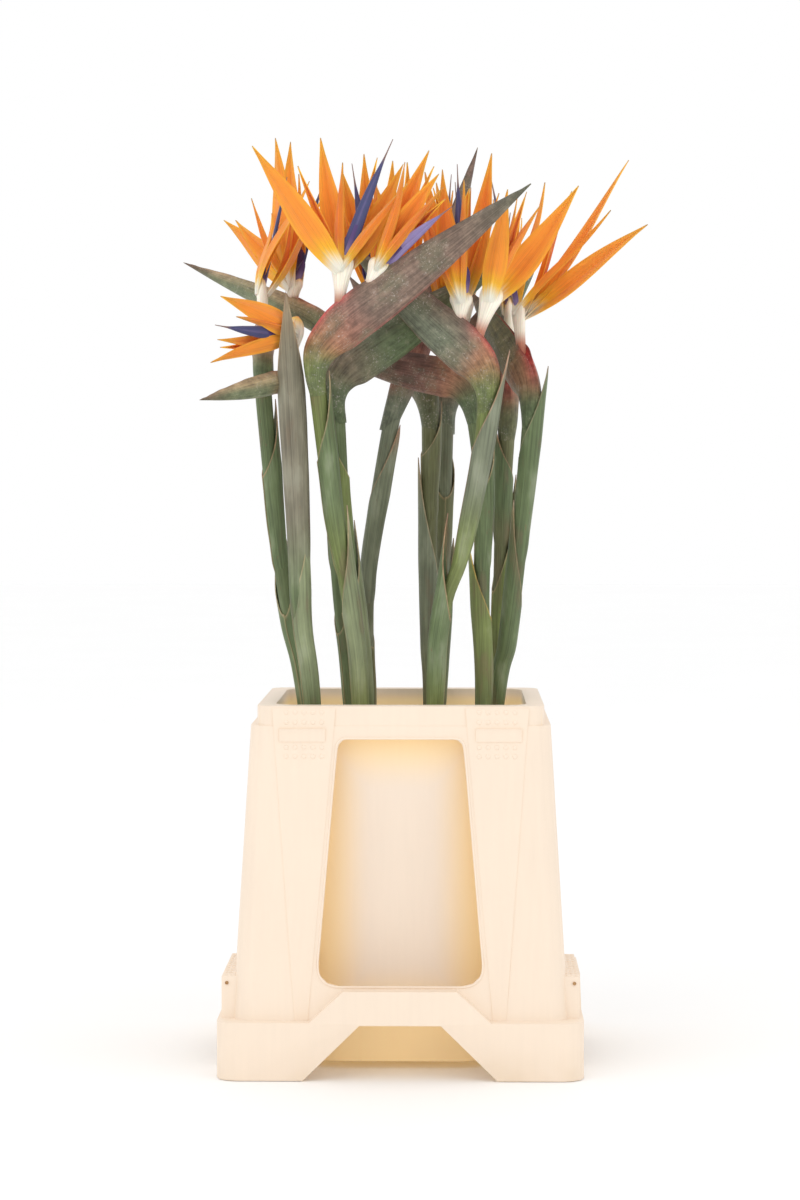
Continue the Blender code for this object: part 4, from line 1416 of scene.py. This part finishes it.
class CRATE_OT_stage(Operator):
    """Set up the floor, the soft light and the camera"""

    bl_idname = "flower_crate.stage"
    bl_label = "Stage"

    def execute(self, context):
        look = context.scene.stage_look
        deselect()
        bpy.ops.mesh.primitive_grid_add(x_subdivisions=24, y_subdivisions=24, size=1)
        floor = context.object
        floor.name = "studio_floor"
        for vert in floor.data.vertices:
            vert.co = Vector((vert.co.x * FLOOR_SIDE, vert.co.y * FLOOR_SIDE, -FLOOR_DROP))
        floor.data.materials.append(floor_finish(look))
        bpy.ops.object.shade_smooth()
        self.add_light("key", KEY_PLACE, KEY_SIZE, look.key)
        self.add_light("fill", FILL_PLACE, FILL_SIZE, look.fill)
        world = bpy.data.worlds.new("soft surroundings")
        world.use_nodes = True
        sky = world.node_tree.nodes["Background"]
        sky.inputs["Color"].default_value = (1, 1, 1, 1)
        sky.inputs["Strength"].default_value = look.sky
        context.scene.world = world
        context.scene.view_settings.view_transform = "Standard"
        view = bpy.data.cameras.new("camera")
        view.lens = CAMERA_LENS
        view.sensor_width = CAMERA_SENSOR
        view.clip_end = 60
        camera = bpy.data.objects.new("camera", view)
        camera.location = CAMERA_PLACE
        camera.rotation_euler = [math.radians(turn) for turn in CAMERA_TURN]
        context.scene.collection.objects.link(camera)
        context.scene.camera = camera
        return {"FINISHED"}

    def add_light(self, name, place, size, power):
        light = bpy.data.lights.new(name, "AREA")
        light.size = size
        light.energy = power
        lamp = bpy.data.objects.new(name, light)
        lamp.location = place
        lamp.rotation_euler = (LIGHT_TARGET - place).to_track_quat("-Z", "Y").to_euler()
        bpy.context.scene.collection.objects.link(lamp)


STEPS = (
    CRATE_OT_model, CRATE_OT_water, CRATE_OT_canes, CRATE_OT_sheaths, CRATE_OT_spathes,
    CRATE_OT_sepals, CRATE_OT_petals, CRATE_OT_stage,
)


class CRATE_PT_steps(Panel):
    """Lists the steps that model the flowers in their crate"""

    bl_label = "Flower crate"
    bl_idname = "CRATE_PT_steps"
    bl_space_type = "VIEW_3D"
    bl_region_type = "UI"
    bl_category = "Flower crate"

    def draw(self, context):
        for step in STEPS:
            self.layout.operator(step.bl_idname)
        for group in GROUPS.values():
            self.layout.label(text=group)


GROUPS = {
    "flower_colours": FlowerColours,
    "flower_sizes": FlowerSizes,
    "crate_look": CrateLook,
    "stage_look": StageLook,
}


def register():
    for kind in (*GROUPS.values(), *STEPS, CRATE_PT_steps):
        bpy.utils.register_class(kind)
    for name, kind in GROUPS.items():
        setattr(bpy.types.Scene, name, PointerProperty(type=kind))


def unregister():
    for name in GROUPS:
        delattr(bpy.types.Scene, name)
    for kind in (CRATE_PT_steps, *reversed(STEPS), *GROUPS.values()):
        bpy.utils.unregister_class(kind)


def main():
    register()
    for step in STEPS:
        group, name = step.bl_idname.split(".")
        getattr(getattr(bpy.ops, group), name)()


if __name__ == "__main__":
    main()
